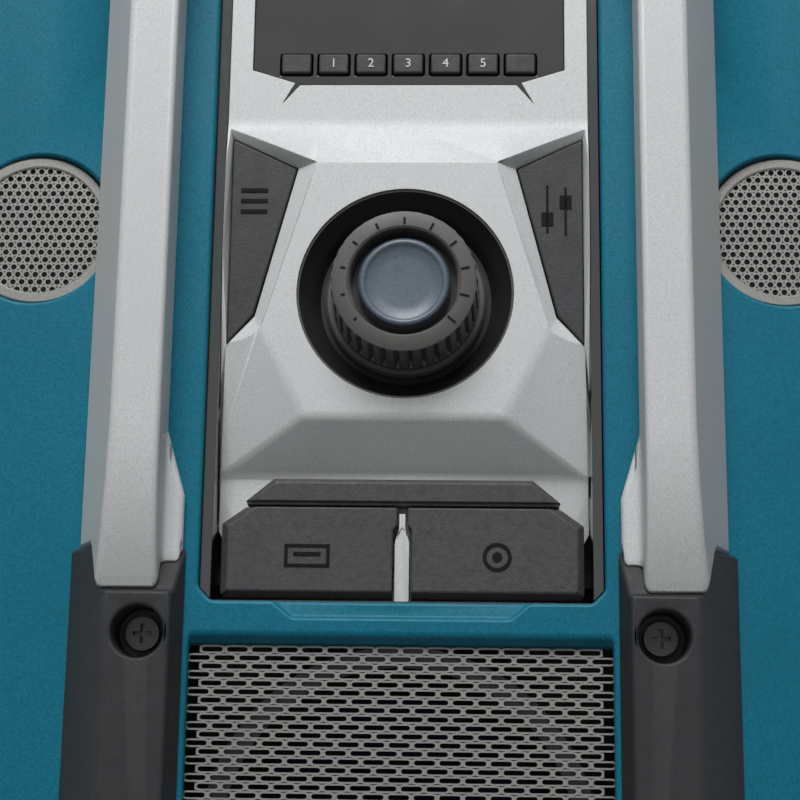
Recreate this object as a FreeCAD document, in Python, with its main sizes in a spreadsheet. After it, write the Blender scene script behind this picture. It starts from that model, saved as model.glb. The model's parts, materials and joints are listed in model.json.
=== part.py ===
import FreeCAD, Part
import Sketcher
import PartDesign
import math
import os
import re

# Jobsite radio, millimetres. World frame: +X to the viewer's right, the front faces -Y, +Z up.
# Panel frame: origin at the knob on the silver face, X as in the world, Y up the slope, Z out of the face.

DIMENSIONS = [
    ("lean", 15, "slope of the control panel from upright, degrees"),
    ("knobDepth", -24.49, "world Y of the knob's centre on the silver face"),
    ("wall", 3, "housing wall"),
    ("fit", 0.1, "gap between fixed neighbours"),
    ("bodyBottom", 5, "height of the housing's underside"),
    ("wingWidth", 61, "width of a side wing"),
    ("chin", 14.67, "housing below the speaker opening"),
    ("topRim", 5.25, "housing above the panel"),
    ("bodyBack", 58, "world Y of the back wall"),
    ("bodyCorner", 10, "chamfer along the housings' four long edges"),
    ("seamDepth", 22.5, "depth of the seam between the housings behind the silver face"),
    ("sealGap", 1, "thickness of the seal in the seam"),
    ("faceOut", 1, "teal face over the silver face"),
    ("wingStep", 8, "depth of the side wings at the column"),
    ("wingDrop", 5, "further depth of the wings at their outer edge"),
    ("openCorner", 3.2, "chamfer of that opening's bottom corners"),
    ("stripWidth", 2.8, "black strip between the teal and the silver"),
    ("stripLevel", 1.6, "depth of the black strip below the silver face"),
    ("panelBack", 11.5, "depth of the silver panel's back"),
    ("edgeGap", 0.4, "gap under the silver panel"),
    ("browDepth", 2.2, "depth of the band above that facet"),
    ("shelfDepth", 9, "depth of the lower area that carries the port covers"),
    ("cheekSlope", 0.37, "slope of the side facets"),
    ("dishDepth", 9, "depth of the knob's recess"),
    ("collarRadius", 20.15, "foot of the knob"),
    ("collarDepth", 7.8, "underside of the knob below the silver face"),
    ("collarThick", 2, "height of the knob's foot"),
    ("knobOut", 10.3, "knob's face over the silver face"),
    ("bowlFloor", 7.2, "bowl's floor over the silver face"),
    ("capThick", 2, "thickness of the cap"),
    ("knurls", 48, "grooves round the knob"),
    ("knurlDepth", 0.7, "depth of a groove"),
    ("shaftRadius", 3, "knob shaft"),
    ("runningGap", 0.05, "radial clearance of shafts and pins"),
    ("pushTravel", 0.8, "push travel of the knob"),
    ("keyGap", 0.35, "gap round every key"),
    ("keyTravel", 0.8, "travel of the keys"),
    ("sideKeyLevel", 2.5, "depth of the two side buttons"),
    ("keySide", 4.3, "side buttons from the edge of the panel's opening"),
    ("keyWide", 16.4, "greatest width of a side button"),
    ("keyNarrow", 6.4, "width of a side button at its lower bend"),
    ("keyLow", 5.2, "that bend below the knob's centre"),
    ("pocketRim", 5.4, "width of the pocket's rim at the button's tip"),
    ("presetWidth", 7.6, "width of a key in the row under the display"),
    ("presetHigh", 5.2, "height of a key in that row"),
    ("presetPitch", 9.6, "pitch of the row"),
    ("keyDepth", 10, "depth of the keys' back"),
    ("lensThick", 2, "thickness of the display lens"),
    ("lensHigh", 30, "height of the display lens"),
    ("boardDepth", 20, "front of the control board"),
    ("boardThick", 1.6, "thickness of the boards"),
    ("coverOut", 6, "thickness of the port covers"),
    ("coverHigh", 22.1, "height of the port covers"),
    ("coverSkin", 2.4, "front skin of the port covers"),
    ("ribHalf", 1.75, "half the width of the rib between the covers"),
    ("ribGap", 0.5, "gap beside the rib"),
    ("stripOut", 5, "thickness of that strip"),
    ("grilleThick", 1, "sheet of the speaker grille"),
    ("slotPitch", 12, "pitch of the slots along a row"),
    ("slotRow", 4, "pitch of the rows"),
    ("slotLong", 10, "length of a slot"),
    ("slotHigh", 2.2, "height of a slot"),
    ("wooferRadius", 47, "outer radius of the woofer"),
    ("wooferDepth", 40, "depth of the woofer"),
    ("tweeterY", 20, "side speakers over the knob"),
    ("tweeterRadius", 20, "opening of a side speaker"),
    ("pillarOut", 14, "pillar's front over the silver face"),
    ("bendLevel", 7, "pillar's front there over the silver face"),
    ("bootOut", 8.5, "lower boot's face over the silver face"),
    ("bootBottom", 1, "height of a lower boot's underside"),
    ("screwHead", 4, "radius of a screw's head"),
    ("screwShank", 2, "radius of a screw's shank"),
    ("handlePivotY", 26, "world Y of the handle's pivots"),
    ("handleReach", 48, "pivot to the middle of the grip"),
    ("gripRadius", 11, "radius of the grip"),
    ("coreRadius", 6, "radius of the steel bar in the grip"),
    ("armThick", 7, "thickness of the handle's arms"),
    ("armGap", 0.6, "gap between the arms and the housing"),
    ("pinRadius", 4, "radius of the handle's pins"),
    ("pinHead", 9, "radius of their heads"),
    ("bayHalf", 64, "half the width of the battery bay"),
    ("bayBottom", 18, "underside of the battery bay"),
    ("bayHigh", 134, "height of the battery bay"),
    ("bayWall", 2, "wall of the battery bay"),
    ("doorThick", 3.4, "thickness of the battery door"),
    ("doorLap", 2.5, "lap of the battery door over its opening"),
    ("hingeDrop", 6, "battery door's hinge below the opening"),
    ("knuckle", 4, "radius of the hinge's knuckles"),
    ("doorPin", 2, "radius of the hinge pin"),
    ("latchPin", 1, "radius of the latch's stubs"),
    ("footRadius", 11, "radius of the rubber feet"),
    ("aerialY", 10, "world Y of the aerial's pivot"),
    ("aerialLong", 165, "length of the aerial"),
    ("aerialRadius", 3.2, "radius of the aerial's rod"),
    ("aerialHub", 8, "radius of the aerial's hub"),
    ("dcZ", 48, "height of the mains socket"),
]

# Sizes that follow from the ones above.
FOLLOWING = [
    ("columnHalf", "wooferRadius + 14", "half the width of the centre column"),
    ("halfWidth", "columnHalf + wingWidth", "half the housing's width"),
    ("openHalf", "columnHalf - 12.3", "half the width of the opening for the control panel"),
    ("grilleHalf", "columnHalf - 10.6", "half the width of the speaker opening"),
    ("lensHalf", "openHalf - 8.7", "half the width of the display lens"),
    ("hornX", "lensHalf - 7.9", "outer tip of the lens's lower corners"),
    ("coverHalf", "openHalf - 4.6", "half the width of both port covers"),
    ("portX", "coverHalf - 21.1", "sockets to the side of the centre"),
    ("tweeterX", "halfWidth - 26", "side speakers to the side of the centre"),
    ("footX", "halfWidth - 24", "feet to the side of the centre"),
    ("dcX", "halfWidth - 28", "mains socket to the side of the centre"),
    ("knobRadius", "collarRadius - 1.75", "knurled side at its foot"),
    ("knobFace", "knobRadius - 1.4", "outer radius of the knob's face"),
    ("bowlRadius", "knobFace - 3.5", "mouth of the bowl in the knob's face"),
    ("capRadius", "bowlRadius - 2.1", "foot of the cap in the bowl"),
    ("capFace", "capRadius - 1.55", "rim of the cap"),
    ("dishRadius", "collarRadius + 0.85", "floor of the knob's recess"),
    ("recessRadius", "dishRadius + 6", "rim of the knob's recess"),
    ("browLow", "recessRadius + 7", "bottom of the facet above the knob"),
    ("browHigh", "browLow + 11.5", "top of that facet"),
    ("hornY", "browHigh + 5.4", "height of those tips"),
    ("lensBottom", "browHigh + 10.5", "bottom of the display lens"),
    ("presetRow", "lensBottom + 5.5", "height of the row over the knob"),
    ("lensTop", "lensBottom + lensHigh", "top of the display lens"),
    ("openTop", "lensTop + 4", "top of that opening above the knob"),
    ("roofTop", "recessRadius + 4.7", "top of the overhang below the knob"),
    ("roofBottom", "roofTop + 13.3", "bottom of that overhang"),
    ("stripTop", "roofBottom + 1.3", "top of the fixed strip over the covers"),
    ("stripLow", "stripTop + 5.7", "bottom of that strip"),
    ("coverTop", "stripLow + 1.6", "top of the port covers below the knob"),
    ("portY", "coverTop + 12.4", "sockets below the knob"),
    ("coverBottom", "coverTop + coverHigh", "bottom of the port covers"),
    ("openBottom", "coverBottom + 1.2", "bottom of that opening below the knob"),
    ("grilleTop", "openBottom + 10.4", "top of the speaker opening below the knob"),
    ("grilleBottom", "grilleTop + 2 * wooferRadius - 0.3", "bottom of the speaker opening"),
    ("knobHeight", "bodyBottom + (grilleBottom + chin) * cos(lean * 1 deg)", "knob centre over the floor"),
    ("bodyTop", "knobHeight + (openTop + topRim) * cos(lean * 1 deg)", "height of the front housing's top"),
    ("pillarIn", "columnHalf - 3.9", "foot of a pillar's inner side"),
    ("pillarFront", "columnHalf + 7.9", "outer edge of a pillar's front"),
    ("pillarFoot", "columnHalf + 19", "outer foot of a pillar"),
    ("pillarTop", "openTop - 6", "top of a pillar over the knob"),
    ("bendStart", "roofTop + 4.3", "where a pillar starts to bend back, below the knob"),
    ("bendEnd", "openBottom - 1.4", "bottom of a pillar's front"),
    ("flareIn", "columnHalf - 8.6", "foot of the flared lower end"),
    ("bootTip", "openBottom - 12.9", "tip of a lower boot below the knob"),
    ("bootIn", "columnHalf - 9.5", "inner side of a lower boot"),
    ("screwX", "columnHalf + 0.5", "boot screws to the side of the centre"),
    ("screwY", "bendEnd + 9.5", "lower boot screws below the knob"),
    ("recess", "screwHead + 2.2", "radius of the recess round a boot screw"),
    ("handlePivotZ", "bodyTop - 20", "height of the handle's pivots"),
    ("aerialZ", "bodyTop - 81", "height of the aerial's pivot"),
    ("bayTop", "bayBottom + bayHigh", "top of the battery bay"),
    ("bayDepth", "bodyBack + 8", "depth of the battery bay"),
    ("footFront", "knobDepth - 19.51", "world Y of the front feet"),
    ("footRear", "bodyBack - 18", "world Y of the rear feet"),
]

doc = FreeCAD.newDocument("JobsiteRadio")
sheet = doc.addObject("Spreadsheet::Sheet", "Sizes")
for row, (alias, value, note) in enumerate(DIMENSIONS + FOLLOWING, start=1):
    sheet.set(f"A{row}", alias)
    sheet.set(f"B{row}", f"={value}" if row > len(DIMENSIONS) else str(value))
    sheet.set(f"C{row}", note)
    sheet.setAlias(f"B{row}", alias)
doc.recompute()

ALIASES = {alias for alias, value, note in DIMENSIONS + FOLLOWING}
TILT = "(lean * 1 deg)"
subParts = []


def size(alias):
    return float(sheet.get(alias))


def formula(text):
    return re.sub(r"[A-Za-z]\w*", lambda word: "Sizes." + word[0] if word[0] in ALIASES else word[0], str(text))


def bind(thing, target, text):
    thing.setExpression(target, formula(text))


# Where a horizontal plane at a height crosses a panel level, along the slope.
def slopeAt(height, level):
    return f"(({height}) - knobHeight - ({level}) * sin{TILT}) / cos{TILT}"


# World Y of a point of the seam at a height.
def seamY(height):
    return f"(knobDepth + (({height}) - knobHeight) * tan{TILT} + seamDepth / cos{TILT})"


# Depth of a wing's front at a distance from the centre.
def wingLevel(x):
    return f"(-wingStep - wingDrop * (({x}) - columnHalf) / (halfWidth - columnHalf))"


def place(thing, x="0", y="0", z="0"):
    bind(thing, "Placement.Base.x", x)
    bind(thing, "Placement.Base.y", y)
    bind(thing, "Placement.Base.z", z)


def placeOnPanel(thing, x="0", up="0", out="0"):
    thing.Placement = FreeCAD.Placement(FreeCAD.Vector(), FreeCAD.Rotation(FreeCAD.Vector(1, 0, 0), 90 - size("lean")))
    bind(thing, "Placement.Rotation.Angle", "90 - lean")
    place(thing, x, f"knobDepth + ({up}) * sin{TILT} - ({out}) * cos{TILT}",
          f"knobHeight + ({up}) * cos{TILT} + ({out}) * sin{TILT}")


def finish(thing):
    subParts.append(thing)
    return thing


def worldBody(name, x="0", y="0", z="0"):
    body = doc.addObject("PartDesign::Body", name)
    place(body, x, y, z)
    return finish(body)


def panelBody(name, x="0", up="0", out="0"):
    body = doc.addObject("PartDesign::Body", name)
    placeOnPanel(body, x, up, out)
    return finish(body)


def sketchOn(body, role, lift):
    sketch = body.newObject("Sketcher::SketchObject", body.Name + "_sketch")
    sketch.AttachmentSupport = [(next(f for f in body.Origin.OriginFeatures if f.Role == role), "")]
    sketch.MapMode = "FlatFace"
    bind(sketch, "AttachmentOffset.Base.z", lift)
    return sketch


def pin(sketch, kind, geometry, point, text, start):
    index = sketch.addConstraint(Sketcher.Constraint(kind, -1, 1, geometry, point, start))
    bind(sketch, f"Constraints[{index}]", text)


# A closed outline of straight lines whose corners are formulas.
def outline(body, corners, role="XY_Plane", lift="0"):
    sketch = sketchOn(body, role, lift)
    count = len(corners)
    spots = [FreeCAD.Vector(math.cos(2 * math.pi * i / count), math.sin(2 * math.pi * i / count), 0)
             for i in range(count)]
    for i in range(count):
        sketch.addGeometry(Part.LineSegment(spots[i], spots[(i + 1) % count]), False)
    for i in range(count):
        sketch.addConstraint(Sketcher.Constraint("Coincident", i, 2, (i + 1) % count, 1))
    for i, (across, along) in enumerate(corners):
        pin(sketch, "DistanceX", i, 1, across, spots[i].x)
        pin(sketch, "DistanceY", i, 1, along, spots[i].y)
    return sketch


def circle(body, across, along, radius, role="XY_Plane", lift="0"):
    sketch = sketchOn(body, role, lift)
    sketch.addGeometry(Part.Circle(FreeCAD.Vector(1, 1, 0), FreeCAD.Vector(0, 0, 1), 1), False)
    index = sketch.addConstraint(Sketcher.Constraint("Radius", 0, 1))
    bind(sketch, f"Constraints[{index}]", radius)
    pin(sketch, "DistanceX", 0, 3, across, 1)
    pin(sketch, "DistanceY", 0, 3, along, 1)
    return sketch


def rectangle(left, bottom, right, top):
    return [(left, bottom), (right, bottom), (right, top), (left, top)]


def mirrored(corners):
    return [(f"-({across})", along) for across, along in corners]


def feature(body, kind, sketch, length, midplane=False, reverse=False):
    result = body.newObject(kind, body.Name + "_feature")
    result.Profile = sketch
    bind(result, "Length", length)
    result.Midplane = midplane
    result.Reversed = reverse
    return result


def pad(body, sketch, length, midplane=False, reverse=False):
    return feature(body, "PartDesign::Pad", sketch, length, midplane, reverse)


# A pocket has to take material away, so its volume is compared with the solid before it.
def cut(body, sketch, length, midplane=False, reverse=False):
    before = body.Tip
    result = feature(body, "PartDesign::Pocket", sketch, length, midplane, reverse)
    doc.recompute()
    if not result.Shape.Volume < before.Shape.Volume:
        raise RuntimeError(f"{result.Name} takes nothing away")
    return result


# A ring or disc turned about the body's own Z axis; the corners are radius and height.
def turn(body, corners, kind="PartDesign::Revolution"):
    sketch = outline(body, corners, "XZ_Plane")
    result = body.newObject(kind, body.Name + "_turned")
    result.Profile = sketch
    result.ReferenceAxis = (sketch, ["V_Axis"])
    result.Angle = 360
    return result


def box(name, corner, lengths):
    solid = doc.addObject("Part::Box", name)
    for target, text in zip(("Length", "Width", "Height"), lengths):
        bind(solid, target, text)
    place(solid, *corner)
    return solid


# A cylinder along world X from its left end.
def crossCylinder(name, start, radius, length):
    solid = doc.addObject("Part::Cylinder", name)
    bind(solid, "Radius", radius)
    bind(solid, "Height", length)
    solid.Placement.Rotation = FreeCAD.Rotation(FreeCAD.Vector(0, 1, 0), 90)
    place(solid, *start)
    return solid


def subtract(name, base, tool):
    result = doc.addObject("Part::Cut", name)
    result.Base = base
    result.Tool = tool
    return result


def join(name, solids):
    result = doc.addObject("Part::MultiFuse", name)
    result.Shapes = solids
    return result


def group(name, solids):
    result = doc.addObject("Part::Compound", name)
    result.Links = solids
    return finish(result)


# Levels and edges that several sub-parts share.
HOUSING_BACK = "(-seamDepth + sealGap / 2)"
PANEL_HALF = "(openHalf - stripWidth)"
PANEL_BOTTOM = "(edgeGap - openBottom)"
LENS_BACK = "(-browDepth - lensThick)"
HINGE_Y = "(bodyBack + knuckle + 0.3)"
HINGE_Z = "(bayBottom - hingeDrop)"
KNUCKLES = {
    "housing": [("-54", "13.6"), ("-9.7", "19.4"), ("40.4", "13.6")],
    "door": [("-40", "30"), ("10", "30")],
}
CASE_SCREWS = [(x, z) for x in ("26 - halfWidth", "halfWidth - 26")
               for z in ("bodyBottom + 17", "bayTop + 20", "bodyTop - 64")]


def openingCorners(half, bottom, top, corner):
    return [(f"-{half}", top), (f"-{half}", f"{bottom} + {corner}"), (f"-{half} + {corner}", bottom),
            (f"{half} - {corner}", bottom), (half, f"{bottom} + {corner}"), (half, top)]


def frontHousing():
    body = panelBody("front_housing")
    profile = [(slopeAt("bodyBottom", "faceOut"), "faceOut"), (slopeAt("bodyTop", "faceOut"), "faceOut"),
               (slopeAt("bodyTop", HOUSING_BACK), HOUSING_BACK),
               (slopeAt("bodyBottom", HOUSING_BACK), HOUSING_BACK)]
    pad(body, outline(body, profile, "YZ_Plane"), "2 * halfWidth", midplane=True)
    beyond = "(halfWidth + 1)"
    step = [("columnHalf", "faceOut + 1"), ("columnHalf", "-wingStep"), (beyond, wingLevel(beyond)),
            (beyond, "faceOut + 1")]
    lowest = f"({slopeAt('bodyBottom', HOUSING_BACK)} + wall + 1)"
    highest = f"({slopeAt('bodyTop', 'faceOut')} - wall)"
    inner = "(halfWidth - wall)"
    hollow = [("columnHalf - wall - 1", HOUSING_BACK + " - 1"), ("columnHalf - wall - 1", "-wingStep - wall"),
              (inner, f"{wingLevel(inner)} - wall"), (inner, HOUSING_BACK + " - 1")]
    for flip in (list, mirrored):
        cut(body, outline(body, flip(step), "XZ_Plane"), "800", midplane=True)
        cut(body, outline(body, flip(hollow), "XZ_Plane", f"-({lowest} + bodyCorner)"),
            f"{highest} - {lowest} - 2 * bodyCorner")
    core = rectangle("wall - columnHalf", lowest, "columnHalf - wall", highest)
    cut(body, outline(body, core, lift=HOUSING_BACK), "seamDepth - sealGap / 2 + faceOut - wall", reverse=True)
    window = openingCorners("openHalf", "-openBottom", "openTop", "openCorner")
    cut(body, outline(body, window, lift="faceOut"), "wall + 1")
    speaker = openingCorners("grilleHalf", "-grilleBottom", "-grilleTop", "8")
    cut(body, outline(body, speaker, lift="faceOut"), "wall + 1")
    sill = [("2.6 - grilleTop", "faceOut"), ("-grilleTop - 0.1", "faceOut - 2.2"),
            ("-grilleTop - 0.1", "faceOut + 1"),
            ("2.6 - grilleTop", "faceOut + 1")]
    cut(body, outline(body, sill, "YZ_Plane"), "2 * grilleHalf", midplane=True)
    notch = [("-31.2", "0.5 - openBottom"), ("-26", "-openBottom - 3.8"), ("26", "-openBottom - 3.8"),
             ("31.2", "0.5 - openBottom")]
    cut(body, outline(body, notch, lift="faceOut"), "1.4")
    for flip in (list, mirrored):
        for height, sense in (("bodyTop", "-"), ("bodyBottom", "+")):
            edge = slopeAt(height, HOUSING_BACK)
            corner = [("halfWidth - bodyCorner - 20", f"{edge} {sense} (-20)"),
                      ("halfWidth + 20", f"{edge} {sense} (-20)"),
                      ("halfWidth + 20", f"{edge} {sense} (bodyCorner + 20)")]
            cut(body, outline(body, flip(corner)), "200", midplane=True)
    for flip in ("", "-"):
        cut(body, circle(body, f"{flip}tweeterX", "tweeterY", "tweeterRadius"), "seamDepth")
        cut(body, circle(body, f"{flip}screwX", "-screwY", "recess + 2", lift="faceOut"), "6")
        cut(body, circle(body, f"{flip}screwX", "-screwY", "screwShank", lift="faceOut"), "20")


# World Y of the rear housing's front edge at a height.
def frontAt(height):
    return f"({seamY(height)} + sealGap / 2 / cos{TILT})"


def rearHousing():
    body = worldBody("rear_housing")
    outer = [(frontAt("bodyBottom"), "bodyBottom"), ("bodyBack", "bodyBottom"), ("bodyBack", "bodyTop - 48"),
             ("bodyBack - 12", "bodyTop - 43"), ("bodyBack - 20", "bodyTop - 13"),
             ("bodyBack - 36", "bodyTop - 8"),
             (frontAt("bodyTop") + " + 2", "bodyTop"), (frontAt("bodyTop"), "bodyTop")]
    pad(body, outline(body, outer, "YZ_Plane"), "2 * halfWidth", midplane=True)
    low = "bodyBottom + wall"
    high = "bodyTop - wall"
    inner = [(frontAt(low) + " - 9", low), ("bodyBack - wall", low), ("bodyBack - wall", "bodyTop - 50"),
             ("bodyBack - 14.4", "bodyTop - 45"), ("bodyBack - 22.4", "bodyTop - 15.4"),
             ("bodyBack - 38", "bodyTop - 11"), (frontAt(high) + " + 1", high),
             (frontAt(high) + " - 9", high)]
    cut(body, outline(body, inner, "YZ_Plane"), "2 * (halfWidth - wall - bodyCorner)", midplane=True)
    low = "bodyBottom + wall + bodyCorner"
    high = "bodyTop - 15.4 - wall"
    sides = [(frontAt(low) + " - 9", low), ("bodyBack - wall", low), ("bodyBack - wall", "bodyTop - 50"),
             ("bodyBack - 14.4", "bodyTop - 45"), ("bodyBack - 22", high), (frontAt(high) + " - 9", high)]
    cut(body, outline(body, sides, "YZ_Plane"), "2 * (halfWidth - wall)", midplane=True)
    for flip in (list, mirrored):
        for height, sense in (("bodyTop", "-"), ("bodyBottom", "+")):
            corner = [("halfWidth - bodyCorner - 20", f"{height} {sense} (-20)"),
                      ("halfWidth + 20", f"{height} {sense} (-20)"),
                      ("halfWidth + 20", f"{height} {sense} (bodyCorner + 20)")]
            cut(body, outline(body, flip(corner), "XZ_Plane"), "400", midplane=True)
    pad(body, circle(body, "aerialY", "aerialZ", "aerialHub", "YZ_Plane", "halfWidth - 1"), "3")
    bay = rectangle("-bayHalf", "bayBottom", "bayHalf", "bayTop")
    cut(body, outline(body, bay, "XZ_Plane", "-bodyBack - 1"), "wall + 2", reverse=True)
    for flip in ("", "-"):
        cut(body, circle(body, "handlePivotY", "handlePivotZ", "pinRadius", "YZ_Plane", f"{flip}halfWidth"),
            "4 * wall", midplane=True)
    for start, length in KNUCKLES["housing"]:
        pad(body, circle(body, HINGE_Y, HINGE_Z, "knuckle", "YZ_Plane", start), length)
        web = [("bodyBack - 1", f"{HINGE_Z} - knuckle"), (HINGE_Y, f"{HINGE_Z} - knuckle"),
               (HINGE_Y, HINGE_Z),
               ("bodyBack - 1", HINGE_Z)]
        pad(body, outline(body, web, "YZ_Plane", start), length)
    cut(body, circle(body, HINGE_Y, HINGE_Z, "doorPin", "YZ_Plane"), "2 * bayHalf", midplane=True)
    cut(body, circle(body, "dcX", "dcZ", "5.5", "XZ_Plane", "-bodyBack - 1"), "wall + 2", reverse=True)
    for x, z in CASE_SCREWS:
        cut(body, circle(body, x, z, "screwHead", "XZ_Plane", "-bodyBack - 1"), "2.8", reverse=True)
        cut(body, circle(body, x, z, "screwShank", "XZ_Plane", "-bodyBack - 1"), "wall + 2", reverse=True)


def housingSeal():
    body = panelBody("housing_seal")
    bottom = slopeAt("bodyBottom", "-seamDepth")
    top = slopeAt("bodyTop", "-seamDepth")
    right = [("halfWidth - 1", f"{bottom} + bodyCorner + 2"), ("halfWidth - 1", f"{top} - bodyCorner - 2"),
             ("halfWidth - bodyCorner - 1", f"{top} - 1")]
    left = [("bodyCorner + 1 - halfWidth", f"{top} - 1"), ("1 - halfWidth", f"{top} - bodyCorner - 2"),
            ("1 - halfWidth", f"{bottom} + bodyCorner + 2")]
    ring = [("bodyCorner + 1 - halfWidth", f"{bottom} + 1"), ("halfWidth - bodyCorner - 1", f"{bottom} + 1")]
    ring += right + left
    hole = rectangle("bodyCorner - halfWidth", f"{bottom} + 4", "halfWidth - bodyCorner", f"{top} - 12")
    pad(body, outline(body, ring, lift="-seamDepth - sealGap / 2"), "sealGap")
    cut(body, outline(body, hole, lift="sealGap / 2 - seamDepth"), "2 * sealGap")


# A tilted plane that runs down and out from the line between two points of the silver face.
def slopeAway(body, start, end, slope):
    along = (end - start).normalize()
    outward = FreeCAD.Vector(-along.y, along.x, 0)
    if outward.x * start.x < 0:
        outward = -outward
    sketch = sketchOn(body, "XY_Plane", "0")
    turnTo = FreeCAD.Rotation(outward, FreeCAD.Vector(0, 0, 1), outward.cross(FreeCAD.Vector(0, 0, 1)), "ZXY")
    reach = 60
    corners = [FreeCAD.Vector(0, 0, 0), FreeCAD.Vector(reach, -slope * reach, 0), FreeCAD.Vector(reach, 5, 0),
               FreeCAD.Vector(0, 5, 0)]
    for i in range(4):
        sketch.addGeometry(Part.LineSegment(corners[i], corners[(i + 1) % 4]), False)
    sketch.setExpression("AttachmentOffset.Base.z", None)
    sketch.AttachmentOffset = FreeCAD.Placement(start, turnTo)
    return cut(body, sketch, "200", midplane=True)


CHEEK_HIGH = 0.7351
CHEEK_LOW = 0.5072
KEY_TIP = "(openHalf - keySide - keyWide)"
KEY_BEND = "(openHalf - keySide - keyNarrow)"
POCKET_BEND = f"({KEY_BEND} - 2.2)"


# The chamfered pocket of a side button: a wide mouth on the face, a narrow floor at the button.
def buttonPocket(body, flip):
    mouth = outline(body, flip([(f"{PANEL_HALF} + 0.01", "browLow + 13.2"),
                                (f"{KEY_TIP} - pocketRim", "browLow + 0.2"),
                                (POCKET_BEND, "-keyLow - 4.6"), (f"{PANEL_HALF} + 0.01", "-keyLow - 19.8")]),
                    lift="0.02")
    floor = outline(body, flip(sideKeyCorners("keyGap")), lift="-sideKeyLevel - 0.6")
    pocket = body.newObject("PartDesign::SubtractiveLoft", body.Name + "_pocket")
    pocket.Profile = mouth
    pocket.Sections = [floor]
    pocket.Ruled = True
    hole = outline(body, flip(sideKeyCorners("keyGap")), lift="-sideKeyLevel")
    cut(body, hole, "20")



def sideKeyCorners(gap):
    edge = f"openHalf - keySide + {gap} / 2"
    return [(edge, f"browLow + 7.1 + {gap}"), (f"{KEY_TIP} - {gap}", f"browLow - 0.8 + {gap}"),
            (f"{KEY_BEND} - {gap}", f"-keyLow - {gap}"), (edge, f"-keyLow - 7.4 - {gap}")]


def fascia():
    body = panelBody("fascia")
    plate = rectangle(f"-{PANEL_HALF}", PANEL_BOTTOM, PANEL_HALF, "openTop - edgeGap")
    pad(body, outline(body, plate, lift="-panelBack"), "panelBack")
    roof = [("-roofTop", "0"), ("-roofBottom", "-shelfDepth"), ("-openBottom - 1", "-shelfDepth"),
            ("-openBottom - 1", "1"), ("-roofTop", "1")]
    cut(body, outline(body, roof, "YZ_Plane"), "4 * openHalf", midplane=True)
    brow = [("browLow", "0"), ("browHigh", "-browDepth"), ("openTop + 1", "-browDepth"), ("openTop + 1", "1"),
            ("browLow", "1")]
    cut(body, outline(body, brow, "YZ_Plane"), "4 * openHalf", midplane=True)
    for flip, sign in ((mirrored, -1), (list, 1)):
        bend = FreeCAD.Vector(sign * size("openHalf") * CHEEK_HIGH, -size("keyLow") - 4.6, 0)
        foot = FreeCAD.Vector(sign * size("openHalf") * CHEEK_LOW, -size("roofTop"), 0)
        slopeAway(body, bend, foot, size("cheekSlope"))
        buttonPocket(body, flip)
    rib = [("-ribHalf", PANEL_BOTTOM), ("-ribHalf", "-coverTop - 7.6"), ("-0.75", "-coverTop - 6.2"),
           ("-0.75", "-coverTop - 1.6"), ("0.75", "-coverTop - 1.6"), ("0.75", "-coverTop - 6.2"),
           ("ribHalf", "-coverTop - 7.6"), ("ribHalf", PANEL_BOTTOM)]
    pad(body, outline(body, rib, lift="-shelfDepth - 1"), "coverOut + 1")
    cut(body, circle(body, "0", "0", "recessRadius", lift="1"), "3 * panelBack")
    cut(body, outline(body, lensCorners("fit"), lift="0"), "3 * panelBack")
    cut(body, outline(body, portRecess("-portX", "9.5", "6"), lift="0"), "3 * panelBack")
    cut(body, outline(body, portRecess("portX", "6", "6"), lift="0"), "3 * panelBack")


def portRecess(x, half, high):
    return rectangle(f"{x} - {half}", f"-portY - {high}", f"{x} + {half}", f"{high} - portY")


# The display lens has two pointed lower corners that reach below its bottom edge.
def lensCorners(gap):
    return [(f"-lensHalf - {gap}", f"lensTop + {gap}"), (f"-lensHalf - {gap}", "lensBottom + 4"),
            (f"3.2 - hornX - {gap}", "hornY + 5.6"), (f"-hornX - {gap}", f"hornY - {gap}"),
            (f"4.2 - hornX + {gap}", f"lensBottom - {gap}"), (f"hornX - 4.2 - {gap}", f"lensBottom - {gap}"),
            (f"hornX + {gap}", f"hornY - {gap}"), (f"hornX - 3.2 + {gap}", "hornY + 5.6"),
            (f"lensHalf + {gap}", "lensBottom + 4"), (f"lensHalf + {gap}", f"lensTop + {gap}")]


def fasciaSurround():
    body = panelBody("fascia_surround")
    outer = openingCorners("openHalf - fit", "fit - openBottom", "openTop - fit", "openCorner")
    pad(body, outline(body, outer, lift="-panelBack"), "panelBack - stripLevel")
    floor = rectangle(f"-{PANEL_HALF} - fit", f"{PANEL_BOTTOM} - fit", f"{PANEL_HALF} + fit", "openTop - edgeGap + fit")
    cut(body, outline(body, floor, lift="0"), "3 * panelBack")


def keyX(index):
    return f"{index - 3} * presetPitch"


def presetCorners(index, gap):
    x = keyX(index)
    return rectangle(f"{x} - presetWidth / 2 - {gap}", f"presetRow - presetHigh / 2 - {gap}",
                     f"{x} + presetWidth / 2 + {gap}", f"presetRow + presetHigh / 2 + {gap}")


KEY_NAMES = ["power_button", "preset_button_1", "preset_button_2", "preset_button_3", "preset_button_4",
             "preset_button_5", "source_button"]


def displayLens():
    body = panelBody("display_lens")
    pad(body, outline(body, lensCorners("0"), lift=LENS_BACK), "lensThick")
    for index in range(len(KEY_NAMES)):
        cut(body, outline(body, presetCorners(index, "keyGap"), lift="0"), "20")


def displayModule():
    body = panelBody("lcd_module")
    screen = rectangle("-34", "presetRow + 5", "34", "lensTop - 1")
    pad(body, outline(body, screen, lift="-keyDepth"), f"keyDepth + {LENS_BACK}")


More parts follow.
